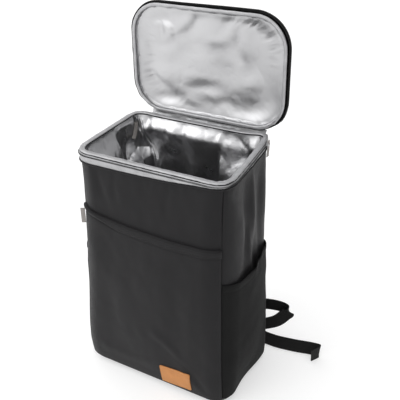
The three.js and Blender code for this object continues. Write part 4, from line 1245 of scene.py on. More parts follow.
def lid_coil():
    places = lid_places(COIL_PITCH)
    open_part = (places > BACK - 0.05) & (places < LEFT + 0.05)
    places = places[~open_part]
    height = BINDING_HEIGHT + 2 * MM
    outward = lid_flare(places) * 0.72 + TAPE_THICKNESS / 2 + TEETH_THICKNESS / 2
    moves = (-PLACE_STEP, 0, PLACE_STEP)
    before, points, after = (open_lid(lid_ring(places + move, height, outward)) for move in moves)
    along = after - before
    along = unit(along)
    up = np.tile([0.0, 1.0, 0.0], (len(points), 1))
    return zip_coil("lid_zip_coil", points, along, np.cross(along, up), up)


# Bands: webbing, ribbons and padded straps


def smooth_path(points, steps):
    """Centripetal curve through points, with the place of each sample among them."""
    points = np.asarray(points, float)
    padded = np.concatenate([[2 * points[0] - points[1]], points, [2 * points[-1] - points[-2]]])
    samples, places = [], []
    for i in range(1, len(padded) - 2):
        near = padded[i - 1:i + 3]
        knots = run_along(near, 0.5)
        last = i == len(padded) - 3
        for part in np.linspace(0, 1, steps + 1)[:None if last else -1]:
            t = mix(knots[1], knots[2], part)

            def blend(a, b, low, high):
                return a + (b - a) * (t - knots[low]) / (knots[high] - knots[low])

            first = [blend(near[k], near[k + 1], k, k + 1) for k in range(3)]
            second = [blend(first[0], first[1], 0, 2), blend(first[1], first[2], 1, 3)]
            samples.append(blend(second[0], second[1], 1, 2))
            places.append(i - 1 + part)
    return np.array(samples), np.array(places)


def band_frames(points, across, steps):
    """Smooth line through the points with the directions across it and square to it."""
    centre, places = smooth_path(points, steps)
    run = np.gradient(centre, axis=0)
    run = unit(run)
    index = np.arange(len(points))
    across = np.stack([np.interp(places, index, np.asarray(across)[:, k]) for k in range(3)], -1)
    across -= run * np.sum(across * run, axis=1, keepdims=True)
    across = unit(across)
    return centre, across, np.cross(run, across), places


def oblong(half_width, half_thickness, around, squareness):
    """Outline of a band's section as two rows, across and thick."""
    wide, thick = soft_oblong(full_turn(around), squareness, flatness=0.7)
    return half_width[:, None] * wide[None, :], half_thickness[:, None] * thick[None, :]


def band_piece(name, points, across, widths, thickness, steps=8, around=20, squareness=6, relief=None):
    centre, across, face, places = band_frames(points, across, steps)
    width = np.interp(places, np.arange(len(points)), widths)
    wide, thick = oblong(width / 2, np.full(len(centre), thickness / 2), around, squareness)
    if relief:
        thick = thick + relief(run_along(centre)[:, None], wide, width[:, None]) * np.sign(thick)
    sections = centre[:, None] + across[:, None] * wide[..., None] + face[:, None] * thick[..., None]
    return tube_piece(name, sections, False, crisp=60)


# Hinge: cloth strip from the bag's back rim to the lid, faced with foil


def lid_hinge():
    low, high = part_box("lid_hinge")
    columns = np.linspace(-HINGE_WIDTH / 2, HINGE_WIDTH / 2, 110)[None, :]
    part = np.linspace(0, 1, 22)[:, None]
    bend = np.sin(np.pi * part)
    gathers = HINGE_GATHER * soft_noise(columns / HINGE_GATHER_PITCH, part * 2.5, 200) * bend
    y = mix(low.y + 0.4 * MM, high.y - 1 * MM, smoothstep(part, 0.3, 1)) - HINGE_SAG * bend + gathers
    z = mix(low.z, high.z - 0.4 * MM, part ** 0.8) + 0 * columns
    x = columns + 0 * part
    face = np.stack([x, y, z], -1)
    behind = face + np.array([0, HINGE_CLOTH, 0])
    return sheet_piece("lid_hinge_strip", face, behind)


# Zip sliders and ribbon pulls


def block_points(length, width, thickness, taper=1.0, around=20, squareness=5):
    """Rounded block along its first axis, with soft ends."""
    rows = []
    for part in np.array([-1, -0.985, -0.94, -0.8, -0.4, 0, 0.4, 0.8, 0.94, 0.985, 1]):
        ends = (1 - abs(part) ** 16) ** 0.5 * 0.35 + 0.65
        scale = mix(1, taper, (part + 1) / 2) * ends
        halves = np.array([width / 2 * scale]), np.array([thickness / 2 * ends])
        wide, thick = oblong(*halves, around, squareness)
        rows.append(np.stack([np.full(around, part * length / 2), wide[0], thick[0]], -1))
    return np.array(rows)


def joined(name, parts):
    """One piece from several closed meshes."""
    first = parts[0]
    with bpy.context.temp_override(active_object=first, selected_editable_objects=parts):
        bpy.ops.object.join()
    first.name = name
    first.data.name = name
    return first


def zip_slider(name, centre, along, outward):
    """Slider body: two wedge plates round the coil, a neck between them and a bridge on top."""
    across = np.cross(along, outward)
    axes = np.stack([along, across, outward])

    def block(length, width, thickness, place, taper=1.0):
        rows = block_points(length, width, thickness, taper)
        points = centre + np.einsum("rvk,kd->rvd", rows + np.array(place), axes)
        return tube_piece("part", points, False)

    plate = SLIDER_PLATE
    top = SLIDER_THICKNESS
    parts = [
        block(SLIDER_LENGTH, SLIDER_WIDTH, plate, (0, 0, plate / 2), 0.65),
        block(SLIDER_LENGTH, SLIDER_WIDTH, plate, (0, 0, top - plate / 2), 0.65),
        block(3 * MM, 2.4 * MM, top, (3 * MM, 0, top / 2)),
    ]
    bend = np.linspace(0, np.pi, 15)[:, None]
    around = full_turn(10)[None, :]
    arch = np.stack([
        (BRIDGE_HALF + BRIDGE_WIRE * np.cos(around)) * np.cos(bend),
        1.6 * BRIDGE_WIRE * np.sin(around) + 0 * bend,
        top + (BRIDGE_RISE + BRIDGE_WIRE * np.cos(around)) * np.sin(bend)], -1)
    arch_points = centre + np.einsum("rvk,kd->rvd", arch, axes)
    parts.append(tube_piece("part", arch_points, False))
    return joined(name, parts)


def slider_place_right():
    share = ZIP_END + (SLIDER_LENGTH / 2 + GAP) / side_length(section_at(np.array(RIM_HEIGHT)), RIGHT)
    place = np.array([RIGHT + share])
    outward = LAYER_GAP + TAPE_THICKNESS + GAP
    points, along, face, _ = rim_frames(place, TEETH_DEPTH + TEETH_HEIGHT / 2, outward)
    return points[0], along[0], face[0]


LEFT_SLIDER_PLACE = LEFT + 0.04


def slider_place_left():
    drop = BINDING_HEIGHT + GAP + SLIDER_LENGTH / 2
    outward = -(WALL + LAYER_GAP + LINER_THICKNESS + 2 * LAYER_GAP)
    points, along, face, _ = rim_frames(np.array([LEFT_SLIDER_PLACE]), drop, outward)
    return points[0], along[0], face[0]


def ribbon_pull(name, start, swing, across):
    """Ribbon folded double through the slider, its two ends sewn together."""
    parts = np.array([0, 0.3, 0.65, 1])
    down = np.array([0, 0, -PULL_LENGTH])
    points = start + parts[:, None] * down + (parts ** 2)[:, None] * swing
    sewn = 0.30 * PULL_LENGTH

    def relief(run, wide, width):
        rib = 0.10 * MM * np.sin(run * 2 * np.pi / (1.1 * MM))
        waist = -0.30 * MM * bell(run - sewn, 0.8 * MM)
        return rib + waist - 0.1 * MM * smoothstep(np.abs(wide) / width, 0.44, 0.5)

    return band_piece(name, points, [across] * 4, [PULL_WIDTH] * 4, PULL_THICKNESS, steps=14, relief=relief)


def pull_right():
    centre, along, face = slider_place_right()
    start = centre + face * (SLIDER_THICKNESS - 0.4 * MM) + np.array([0, 0, SLIDER_WIDTH / 2 + 3 * MM])
    return ribbon_pull("main_pull_right", start, -face * 1 * MM, along + 0.25 * face)


def pull_left():
    centre, along, face = slider_place_left()
    start = centre - face * SLIDER_THICKNESS / 2 - np.array([0, 0, SLIDER_LENGTH / 2 + GAP])
    swing = along * PULL_SWING - face * PULL_SWING / 2
    return ribbon_pull("main_pull_left", start, swing, along)


def pull_pocket():
    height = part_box("pocket_zip_pull")[1].z
    place = np.array([FRONT + 0.012])
    step = 0.01
    along = (bag_point(place + step, height) - bag_point(place, height))[0]
    along = unit(along)
    outward = np.cross(along, [0, 0, 1])
    across = outward - 0.4 * along
    across = unit(across)
    start = bag_point(place, np.array([height]), LAYER_GAP + POCKET_THICKNESS + GAP + PULL_WIDTH / 2)[0]
    return ribbon_pull("pocket_pull", start, -along * MM, across)


# Shoulder straps, in shares of half the bag's width, the bow, the rim's height and the strap's width


STRAP_ROUTE = table("out behind height width", [
    (0.29, 0.00, 0.885, 0.86), (0.29, 0.02, 0.840, 0.92), (0.30, 0.36, 0.760, 1.00),
    (0.33, 0.80, 0.620, 1.00), (0.37, 1.00, 0.480, 0.98), (0.41, 0.88, 0.360, 0.92),
    (0.45, 0.62, 0.275, 0.72), (0.48, 0.44, 0.235, 0.46),
])
WEBBING_LOOP = table("out behind height lean", [
    (0.90, 0.46, 0.186, 13), (1.10, 0.40, 0.198, 13), (1.19, 0.36, 0.194, 22), (1.205, 0.31, 0.190, 28),
    (1.17, 0.26, 0.178, 36), (1.05, 0.20, 0.134, 38), (0.88, 0.10, 0.078, 38),
])
WEBBING_TAIL = table("out behind height lean", [
    (0.760, 0.66, 1.80, 76), (0.740, 0.56, 1.00, 66), (0.800, 0.40, 0.36, 66), (1.000, 0.30, 0.34, 60),
    (1.300, 0.36, 0.42, 46), (1.550, 0.48, 0.50, 30), (1.650, 0.50, 0.52, 22), (1.662, 0.42, 0.53, 12),
    (1.600, 0.05, 0.53, 6),
])
LOCK_SEAT = 0.88


def behind_points(side, rows, heights):
    back = bag_point(np.full(len(heights), BACK + 0.5), heights)[:, 1]
    return np.stack([side * rows["out"] * BAG_WIDTH / 2, back + rows["behind"] * STRAP_BOW, heights], -1)


def strap_points(side):
    points = behind_points(side, STRAP_ROUTE, STRAP_ROUTE["height"] * RIM_HEIGHT)
    points[:, 1] += STRAP_THICKNESS / 2 + LAYER_GAP
    return points


def strap_relief(run, wide, width):
    """Bound edge, a stitched channel inside it, and cross channels down the padding."""
    edge = width / 2 - np.abs(wide)
    channel = -1.1 * MM * bell(edge - EDGE_CHANNEL, EDGE_CHANNEL_WIDTH)
    hollow = smoothstep(edge, 9 * MM, 18 * MM)
    cross = -1.3 * MM * bell(run % CHANNEL_PITCH - CHANNEL_PITCH / 2, 2 * MM) * hollow
    lumps = 0.5 * MM * soft_noise(run / 0.03, wide / 0.02, 300) * hollow
    return channel + cross + lumps


def shoulder_strap(name, side):
    points = strap_points(side)
    across = [[1, 0, 0]] * len(points)
    widths = STRAP_ROUTE["width"] * STRAP_WIDTH
    return band_piece(name, points, across, widths, STRAP_THICKNESS, steps=16, around=56, squareness=4.5,
                      relief=strap_relief)


def lock_frame(side):
    start = strap_points(side)[-1]
    run = np.array([side * 0.80, -0.10, -0.60])
    run = unit(run)
    normal = np.array([0, 1, 0]) - run * run[1]
    normal = unit(normal)
    across = np.cross(run, normal) * side
    clear = LOCK_SEAT * STRAP_WIDTH * STRAP_ROUTE["width"][-1] / 2 + GAP
    return start + run * clear, run, across


def ladder_lock(name, side):
    """Moulded buckle: two rails and three bars with round edges."""
    seat, run, across = lock_frame(side)
    face = np.cross(across, run)
    axes = np.stack([run, across, face])
    length = 3 * LOCK_BAR + 2 * LOCK_SLOT
    parts = []
    for rail in (-1, 1):
        rows = block_points(length, LOCK_BAR - 1 * MM, LOCK_THICKNESS)
        rows = rows + np.array([length / 2, rail * (WEBBING_WIDTH / 2 + LOCK_BAR / 2 + 0.5 * MM), 0])
        parts.append(tube_piece("part", seat + np.einsum("rvk,kd->rvd", rows, axes), False))
    for bar in range(3):
        rows = block_points(WEBBING_WIDTH + 2 * LOCK_BAR - 1 * MM, LOCK_BAR, LOCK_THICKNESS * 0.85)
        rows = rows[..., [1, 0, 2]] + np.array([LOCK_BAR / 2 + bar * (LOCK_BAR + LOCK_SLOT), 0, 0])
        parts.append(tube_piece("part", seat + np.einsum("rvk,kd->rvd", rows, axes), False))
    return joined(name, parts)


def anchor_point(side, across, up, outward):
    height = WEBBING_LOOP["height"][-1] * RIM_HEIGHT
    length = side_length(section_at(np.array(height)), BACK)
    share = 0.5 - side * (WEBBING_LOOP["out"][-1] * BAG_WIDTH - ANCHOR_WIDTH) / 2 / length
    return bag_point(BACK + share + across / length, height + up, outward)


def leaning(rows, side, sideways):
    lean = np.radians(rows["lean"])
    zero = 0 * lean
    if sideways:
        return np.stack([-side * np.sin(lean), zero, np.cos(lean)], -1)
    return np.stack([zero, np.sin(lean), np.cos(lean)], -1)


def strap_webbing(name, side):
    seat, run, across = lock_frame(side)
    outer = np.cross(across, run) * side
    turn = LOCK_THICKNESS / 2 + WEBBING_THICKNESS / 2 + LAYER_GAP
    bar = seat + run * (2.5 * LOCK_BAR + 2 * LOCK_SLOT)
    loop = behind_points(side, WEBBING_LOOP, WEBBING_LOOP["height"] * RIM_HEIGHT)
    loop[-1] = anchor_point(side, 0.0, 0.0, LAYER_GAP + ANCHOR_THICKNESS + WEBBING_THICKNESS)
    tail = behind_points(side, WEBBING_TAIL, WEBBING_TAIL["height"] * WEBBING_WIDTH)
    turns = [(2.5 * LOCK_BAR, -turn), (0, -turn), (-0.95 * turn, -0.95 * turn), (-1.3 * turn, 0),
             (-0.95 * turn, 0.95 * turn), (0, turn), (2 * LOCK_BAR, turn)]
    at_bar = np.array([bar + run * along + outer * out for along, out in turns])
    points = np.concatenate([loop[::-1], at_bar, tail])
    loop_lean = leaning(WEBBING_LOOP, side, True)[::-1]
    tail_lean = leaning(WEBBING_TAIL, side, False)
    directions = np.concatenate([loop_lean, np.tile(across, (len(turns), 1)), tail_lean])

    def relief(run_length, wide, width):
        rib = 0.10 * MM * np.sin(wide * 2 * np.pi / WEBBING_RIB)
        bound = 0.12 * MM * smoothstep(np.abs(wide) / width, 0.42, 0.47)
        return rib + bound

    return band_piece(name, points, directions, [WEBBING_WIDTH] * len(points), WEBBING_THICKNESS, steps=10,
                      around=44, squareness=9, relief=relief)


def strap_anchor(name, side):
    u, v = np.meshgrid(np.linspace(-1, 1, 26), np.linspace(-1, 1, 22))
    x, y = rounded_square(u, v, ANCHOR_WIDTH / 2, ANCHOR_HEIGHT / 2, SMALL_CORNER)
    edge = np.minimum((1 - np.abs(u)) * ANCHOR_WIDTH / 2, (1 - np.abs(v)) * ANCHOR_HEIGHT / 2)
    dip = 0.4 * MM * bell(edge - 3 * MM, 0.9 * MM)
    dip = dip + 0.8 * MM * (1 - np.clip(edge / MM, 0, 1)) ** 2
    outer = anchor_point(side, x, y, LAYER_GAP + ANCHOR_THICKNESS - dip)
    inner = anchor_point(side, x, y, LAYER_GAP + 0 * x)
    return sheet_piece(name, outer, inner)


def haul_loop():
    low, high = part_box("haul_loop")
    height = (low.z + high.z) / 2
    thickness = 2.4 * MM
    face = float(bag_point(np.array(BACK + 0.5), np.array(height))[1]) + LAYER_GAP + thickness / 2
    half = high.x
    rise = high.y - thickness / 2 - face
    path = [(-1, 0), (-0.72, 0.02), (-0.45, 0.7), (0, 1), (0.45, 0.7), (0.72, 0.02), (1, 0)]
    points = [[half * x, face + rise * out, height] for x, out in path]

    def relief(run, wide, width):
        bound = 0.3 * MM * smoothstep(np.abs(wide) / width, 0.40, 0.47)
        return 0.12 * MM * np.sin(wide * 2 * np.pi / WEBBING_RIB) + bound

    return band_piece("haul_loop_webbing", points, [[0, 0, 1]] * len(points), [high.z - low.z] * len(points),
                      thickness, steps=12, around=40, squareness=8, relief=relief)


# Materials


def add_node(tree, kind, inputs=None, **settings):
    made = tree.nodes.new(kind)
    for name, value in settings.items():
        setattr(made, name, value)
    for name, value in (inputs or {}).items():
        if isinstance(value, bpy.types.NodeSocket):
            tree.links.new(value, made.inputs[name])
        else:
            made.inputs[name].default_value = value
    return made


def start_material(name):
    material = bpy.data.materials.new(name)
    material.use_nodes = True
    tree = material.node_tree
    return material, tree, tree.nodes["Principled BSDF"]


def flat_place(tree):
    return add_node(tree, "ShaderNodeUVMap", uv_map="flat").outputs[0]


def object_place(tree):
    return add_node(tree, "ShaderNodeTexCoord").outputs["Object"]


def scaled_sum(tree, first, first_share, second, second_share=None):
    """First value times its share, plus a number or a second value times its share."""
    start = math_of(tree, "MULTIPLY", first, first_share)
    if second_share is None:
        return math_of(tree, "ADD", start, second)
    return math_of(tree, "ADD", start, math_of(tree, "MULTIPLY", second, second_share))


def colour_between(tree, factor, low, high):
    ramp = add_node(tree, "ShaderNodeMix", data_type="RGBA")
    tree.links.new(factor, ramp.inputs[0])
    ramp.inputs[6].default_value = (*low, 1)
    ramp.inputs[7].default_value = (*high, 1)
    return ramp.outputs[2]


def paint(tree, shader, factor, dark, light):
    tree.links.new(colour_between(tree, factor, dark, light), shader.inputs["Base Color"])


def noise_at(tree, coordinates, scale, detail=3.0, roughness=0.55):
    return add_node(tree, "ShaderNodeTexNoise", {
        "Vector": coordinates, "Scale": scale, "Detail": detail, "Roughness": roughness}).outputs[0]


def math_of(tree, operation, first, second=None):
    made = add_node(tree, "ShaderNodeMath", operation=operation)
    for socket, value in zip(made.inputs, (first, second)):
        if isinstance(value, bpy.types.NodeSocket):
            tree.links.new(value, socket)
        elif value is not None:
            socket.default_value = value
    return made.outputs[0]


def weave_height(tree, flat, pitch, slant=0.0):
    """Over-and-under threads at a true pitch, from the flat coordinates in metres."""
    turned = add_node(tree, "ShaderNodeMapping", {
        "Vector": flat, "Rotation": (0, 0, slant), "Scale": (1 / pitch, 1 / pitch, 1)}).outputs[0]
    parts = add_node(tree, "ShaderNodeSeparateXYZ", {"Vector": turned})
    waves = [math_of(tree, "SINE", math_of(tree, "MULTIPLY", parts.outputs[k], 2 * math.pi)) for k in (0, 1)]
    return math_of(tree, "MULTIPLY", waves[0], waves[1])


def finish_bump(tree, shader, *layers):
    """Chain of bumps, each a height with its strength and distance."""
    normal = None
    for height, strength, distance in layers:
        inputs = {"Height": height, "Strength": strength, "Distance": distance}
        if normal:
            inputs["Normal"] = normal
        normal = add_node(tree, "ShaderNodeBump", inputs).outputs[0]
    tree.links.new(normal, shader.inputs["Normal"])


def cloth_material(name, dark, light, roughness, pitch, sheen, weave_depth=0.35, slant=0.0, coat=0.0):
    material, tree, shader = start_material(name)
    flat = flat_place(tree)
    place = object_place(tree)
    weave = weave_height(tree, flat, pitch, slant)
    slub = noise_at(tree, place, 900, 2)
    cloud = noise_at(tree, place, 14, 3)
    tone = scaled_sum(tree, cloud, 0.75, slub, 0.25)
    paint(tree, shader, tone, dark, light)
    rough = scaled_sum(tree, cloud, 0.12, roughness - 0.06)
    tree.links.new(rough, shader.inputs["Roughness"])
    shader.inputs["Specular IOR Level"].default_value = 0.16
    shader.inputs["Sheen Weight"].default_value = sheen
    shader.inputs["Sheen Roughness"].default_value = 0.45
    shader.inputs["Coat Weight"].default_value = coat
    finish_bump(tree, shader, (weave, weave_depth, 0.12 * MM), (slub, 0.10, 0.2 * MM))
    return material


def foil_material(name, dark, light, roughness, creases=0.5):
    material, tree, shader = start_material(name)
    place = object_place(tree)
    cloud = noise_at(tree, place, 9, 3)
    paint(tree, shader, cloud, dark, light)
    shader.inputs["Metallic"].default_value = 1.0
    rough = scaled_sum(tree, noise_at(tree, place, 30, 2), 0.16, roughness - 0.08)
    tree.links.new(rough, shader.inputs["Roughness"])
    sway = noise_at(tree, place, 26, 2, 0.5)
    wrinkle = noise_at(tree, place, 70, 4, 0.6)
    fine = noise_at(tree, place, 420, 2)
    layers = (sway, creases, 2.5 * MM), (wrinkle, creases, 1.6 * MM), (fine, 0.15, 0.25 * MM)
    finish_bump(tree, shader, *layers)
    return material


def tape_material(name, dark, light, roughness, metallic, pitch, weave_depth=0.5):
    material, tree, shader = start_material(name)
    flat = flat_place(tree)
    place = object_place(tree)
    weave = weave_height(tree, flat, pitch, math.radians(45))
    cloud = noise_at(tree, place, 60, 4)
    paint(tree, shader, cloud, dark, light)
    shader.inputs["Metallic"].default_value = metallic
    shader.inputs["Roughness"].default_value = roughness
    finish_bump(tree, shader, (weave, weave_depth, 0.10 * MM), (cloud, 0.35, 0.8 * MM))
    return material


def leather_material():
    material, tree, shader = start_material("tan_leather")
    place = object_place(tree)
    cloud = noise_at(tree, place, 45, 4, 0.6)
    pores = add_node(tree, "ShaderNodeTexVoronoi", {"Vector": place, "Scale": 1300.0}).outputs[0]
    tone = scaled_sum(tree, cloud, 0.8, pores, 0.25)
    paint(tree, shader, tone, (0.37, 0.138, 0.034), (0.62, 0.262, 0.072))
    shader.inputs["Roughness"].default_value = 0.52
    finish_bump(tree, shader, (pores, 0.25, 0.12 * MM), (cloud, 0.2, 0.5 * MM))
    return material


def plastic_material(name, colour, roughness, metallic=0.0):
    material, tree, shader = start_material(name)
    place = object_place(tree)
    grain = noise_at(tree, place, 700, 3)
    light = tuple(min(1, channel * 1.35 + 0.004) for channel in colour)
    paint(tree, shader, noise_at(tree, place, 80, 2), colour, light)
    shader.inputs["Metallic"].default_value = metallic
    shader.inputs["Roughness"].default_value = roughness
    finish_bump(tree, shader, (grain, 0.12, 0.1 * MM))
    return material


def webbing_material():
    """Herringbone: slanted threads that turn over every few millimetres across the band."""
    material, tree, shader = start_material("black_webbing")
    flat = flat_place(tree)
    parts = add_node(tree, "ShaderNodeSeparateXYZ", {"Vector": flat})
    across, run = parts.outputs[0], parts.outputs[1]
    slanted = math_of(tree, "ADD", run, math_of(tree, "PINGPONG", across, WEBBING_RIB))
    thread = math_of(tree, "SINE", math_of(tree, "MULTIPLY", slanted, 2 * math.pi / (1.3 * MM)))
    paint(tree, shader, thread, (0.003, 0.003, 0.003), (0.008, 0.008, 0.008))
    shader.inputs["Roughness"].default_value = 0.62
    shader.inputs["Specular IOR Level"].default_value = 0.25
    finish_bump(tree, shader, (thread, 0.6, 0.25 * MM))
    return material


black_cloth = cloth_material(
    "black_cloth", (0.0095, 0.0090, 0.0099), (0.0142, 0.0136, 0.0147), 0.50, 0.55 * MM, 0.04)
strap_cloth = cloth_material(
    "strap_cloth", (0.006, 0.006, 0.006), (0.011, 0.011, 0.011), 0.75, 1.6 * MM, 0.05, 0.7)
stretch_cloth = cloth_material(
    "stretch_cloth", (0.005, 0.005, 0.005), (0.008, 0.008, 0.008), 0.85, 0.9 * MM, 0.03, 0.6)
thread_cloth = cloth_material(
    "black_thread", (0.006, 0.006, 0.006), (0.012, 0.012, 0.012), 0.6, 0.5 * MM, 0.05)
FOIL_DARK = (0.53, 0.53, 0.54)
liner_foil = foil_material("liner_foil", FOIL_DARK, (0.67, 0.67, 0.68), 0.30, 0.50)
lid_foil = foil_material("lid_foil", FOIL_DARK, (0.61, 0.61, 0.62), 0.44, 0.15)
silver_tape = tape_material("silver_tape", (0.30, 0.30, 0.31), (0.56, 0.56, 0.57), 0.34, 0.75, 0.8 * MM)
coil_plastic = plastic_material("coil_plastic", (0.012, 0.012, 0.013), 0.35)
lock_plastic = plastic_material("lock_plastic", (0.004, 0.004, 0.005), 0.45)
slider_metal = plastic_material("slider_metal", (0.42, 0.42, 0.43), 0.32, 1.0)
tan_leather = leather_material()
tan_thread = cloth_material("tan_thread", (0.50, 0.24, 0.09), (0.72, 0.38, 0.16), 0.6, 0.5 * MM, 0.2)
grey_ribbon = tape_material("grey_ribbon", (0.27, 0.25, 0.235), (0.38, 0.36, 0.345), 0.7, 0.0, 0.7 * MM, 0.7)
webbing = webbing_material()


# Assembly


def dress_bag():
    place_piece(base_tray(), "black_fabric", black_cloth, "base_panel")
    for side, name in enumerate(("front_panel", "side_panel_right", "back_panel", "side_panel_left")):
        place_piece(wall(name + "_cloth", side), "black_fabric", black_cloth, name)
    foil = place_piece(liner(), "foil_liner", liner_foil, "liner")
    place_piece(mouth_binding(), "silver_tape", silver_tape, "mouth_binding")
    place_piece(mouth_tape(), "silver_tape", silver_tape, "mouth_zip_tape")
    place_piece(mouth_piping(), "black_fabric", black_cloth, "mouth_piping")
    place_piece(mouth_coil(), "zip_coil", coil_plastic, "mouth_zip_teeth")


def dress_pockets():
    pocket = place_piece(front_pocket(), "black_fabric", black_cloth, "front_pocket")
    place_piece(pocket_zip(), "zip_coil", coil_plastic, "front_pocket_zip")
    flap = place_piece(pocket_flap(), "black_fabric", black_cloth, "front_pocket_flap")

    def on_flap(share):
        return flap_face() + FLAP_THICKNESS + 0.45 * MM + 0 * share

    def on_panel(share):
        return 0.15 * MM + 0 * share

    def on_pocket(share):
        return LAYER_GAP + pocket_hollow(share, 0.97 + 0 * share) + POCKET_THICKNESS + 0.1 * MM

    rows = {
        "flap_stitches_upper": (lambda share: zip_line(share) - 2.2 * MM, on_flap),
        "flap_stitches_lower": (lambda share: zip_line(share) - flap_reach(share) + 2.0 * MM, on_flap),
        "panel_stitches": (lambda share: zip_line(share) + 3.0 * MM, on_panel),
        "pocket_stitches": (lambda share: zip_line(share) - flap_reach(share) - 4.5 * MM, on_pocket),
    }
    for name, (line, outward) in rows.items():
        place_piece(front_line_stitches(name, line, outward), "black_fabric", thread_cloth)
    place_piece(leather_patch(), "tan_leather", tan_leather, "leather_patch")
    place_piece(patch_stitches(), "tan_leather", tan_thread)
    for name, side in (("right", RIGHT), ("left", LEFT)):
        piece = side_pocket(f"side_pocket_{name}_knit", side)
        place_piece(piece, "stretch_fabric", stretch_cloth, f"side_pocket_{name}")


def dress_lid():
    shell = place_piece(lid_shell(), "black_fabric", black_cloth, "lid_shell")
    place_piece(lid_liner(), "foil_liner", lid_foil, "lid_liner")
    place_piece(lid_binding(), "silver_tape", silver_tape, "lid_binding")
    place_piece(lid_inner_tape(), "silver_tape", silver_tape)
    place_piece(lid_tape(), "black_fabric", strap_cloth, "lid_zip_tape")
    place_piece(lid_piping(), "black_fabric", black_cloth, "lid_piping")
    place_piece(lid_coil(), "zip_coil", coil_plastic)
    hinge = place_piece(lid_hinge(), "silver_tape", silver_tape, "lid_hinge")


def dress_zips():
    centre, along, face = slider_place_right()
    slider = zip_slider("main_slider_right", centre, -along, face)
    place_piece(slider, "zip_metal", slider_metal, "main_zip_slider_right")
    centre, along, face = slider_place_left()
    slider = zip_slider("main_slider_left", centre, np.array([0.0, 0.0, -1.0]), -face)
    place_piece(slider, "zip_metal", slider_metal, "main_zip_slider_left")
    place_piece(pull_right(), "grey_ribbon", grey_ribbon, "main_zip_pull_right")
    place_piece(pull_left(), "grey_ribbon", grey_ribbon, "main_zip_pull_left")
    place_piece(pull_pocket(), "grey_ribbon", grey_ribbon, "pocket_zip_pull")


def dress_straps():
    for name, side in (("right", 1), ("left", -1)):
        strap = shoulder_strap(f"strap_{name}_pad", side)
        place_piece(strap, "black_fabric", strap_cloth, f"shoulder_strap_{name}")
        lock = ladder_lock(f"lock_{name}", side)
        place_piece(lock, "black_plastic", lock_plastic, f"ladder_lock_{name}")
        band = strap_webbing(f"webbing_{name}", side)
        place_piece(band, "black_webbing", webbing, f"strap_webbing_{name}")
        anchor = strap_anchor(f"anchor_{name}", side)
        place_piece(anchor, "black_fabric", black_cloth, f"strap_anchor_{name}")
    place_piece(haul_loop(), "black_webbing", webbing, "haul_loop")


# Stage
FLOOR_HALF = 12.0
FLOOR_TONE = 0.62
FLOOR_GLOW = 0.46
# Where the surroundings are brightest, and their darkest and brightest tone
BRIGHT_SIDE = Vector((-0.55, -0.20, 0.81)).normalized()
DARK_TONE = (0.07, 0.07, 0.072)
BRIGHT_TONE = (1.22, 1.22, 1.22)


def make_stage():
    mesh = bpy.data.meshes.new("floor")
    corners = [(x * FLOOR_HALF, y * FLOOR_HALF, 0) for x, y in ((-1, -1), (1, -1), (1, 1), (-1, 1))]
    mesh.from_pydata(corners, [], [(0, 1, 2, 3)])
    floor = bpy.data.objects.new("floor", mesh)
    bpy.context.scene.collection.objects.link(floor)
    material, _, shader = start_material("floor_paper")
    shader.inputs["Base Color"].default_value = (FLOOR_TONE, FLOOR_TONE, FLOOR_TONE, 1)
    shader.inputs["Emission Color"].default_value = (1, 1, 1, 1)
    shader.inputs["Emission Strength"].default_value = FLOOR_GLOW
    shader.inputs["Roughness"].default_value = 0.9
    mesh.materials.append(material)


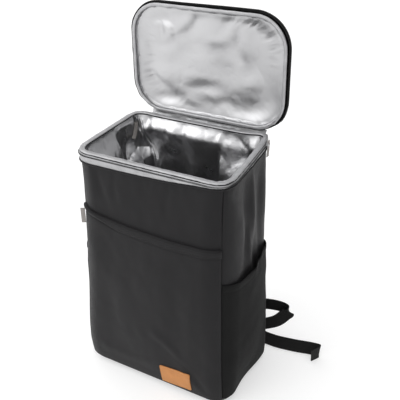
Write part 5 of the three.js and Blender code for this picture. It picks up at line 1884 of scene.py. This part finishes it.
def make_world():
    """Soft studio surroundings, brightest up on the left and greyer towards the right."""
    world = bpy.data.worlds.new("studio")
    bpy.context.scene.world = world
    world.use_nodes = True
    tree = world.node_tree
    direction = add_node(tree, "ShaderNodeTexCoord").outputs["Generated"]
    toward = add_node(tree, "ShaderNodeVectorMath", operation="DOT_PRODUCT")
    tree.links.new(direction, toward.inputs[0])
    toward.inputs[1].default_value = BRIGHT_SIDE
    part = add_node(tree, "ShaderNodeMapRange", {
        "Value": toward.outputs["Value"], "From Min": -0.65, "From Max": 0.75, "To Min": 0.0, "To Max": 1.0})
    tone = colour_between(tree, part.outputs[0], DARK_TONE, BRIGHT_TONE)
    tree.links.new(tone, tree.nodes["Background"].inputs["Color"])


def area_light(name, place, target, size, power):
    light = bpy.data.lights.new(name, "AREA")
    light.shape = "RECTANGLE"
    light.size, light.size_y = size
    light.energy = power
    lamp = bpy.data.objects.new(name, light)
    lamp.location = place
    lamp.rotation_euler = (Vector(target) - Vector(place)).to_track_quat("-Z", "Y").to_euler()
    bpy.context.scene.collection.objects.link(lamp)


def make_lights():
    area_light("key", (-1.8, -1.6, 2.2), (0, 0, 0.3), (3.0, 2.4), 24)
    area_light("rim", (2.4, -0.2, 1.6), (0, 0, 0.3), (0.6, 1.6), 0.8)


# Camera at the photograph's angle
AZIMUTH = math.radians(30.0)
ELEVATION = math.radians(28.5)
ROLL = math.radians(-0.9)
DISTANCE = 1.1316
LOOK_AT = Vector((0.0452, 0.0, 0.360))
PHOTO_WIDTH = 400
FOCAL_PIXELS = 650


def make_camera():
    sine, cosine = math.sin(ELEVATION), math.cos(ELEVATION)
    back = Vector((math.sin(AZIMUTH) * cosine, -math.cos(AZIMUTH) * cosine, sine))
    right = Vector((math.cos(AZIMUTH), math.sin(AZIMUTH), 0))
    up = Vector((-math.sin(AZIMUTH) * sine, math.cos(AZIMUTH) * sine, cosine))
    rolled_right = math.cos(ROLL) * right + math.sin(ROLL) * up
    rolled_up = -math.sin(ROLL) * right + math.cos(ROLL) * up
    camera = bpy.data.cameras.new("camera")
    camera.sensor_width = 36
    camera.lens = camera.sensor_width * FOCAL_PIXELS / PHOTO_WIDTH
    camera.clip_end = 50
    holder = bpy.data.objects.new("camera", camera)
    turn = Matrix((rolled_right, rolled_up, back)).transposed().to_4x4()
    holder.matrix_world = Matrix.Translation(LOOK_AT + back * DISTANCE) @ turn
    bpy.context.scene.collection.objects.link(holder)
    bpy.context.scene.camera = holder


bpy.context.scene.view_settings.view_transform = "Standard"
dress_bag()
dress_pockets()
dress_lid()
dress_zips()
dress_straps()
make_stage()
make_world()
make_lights()
make_camera()
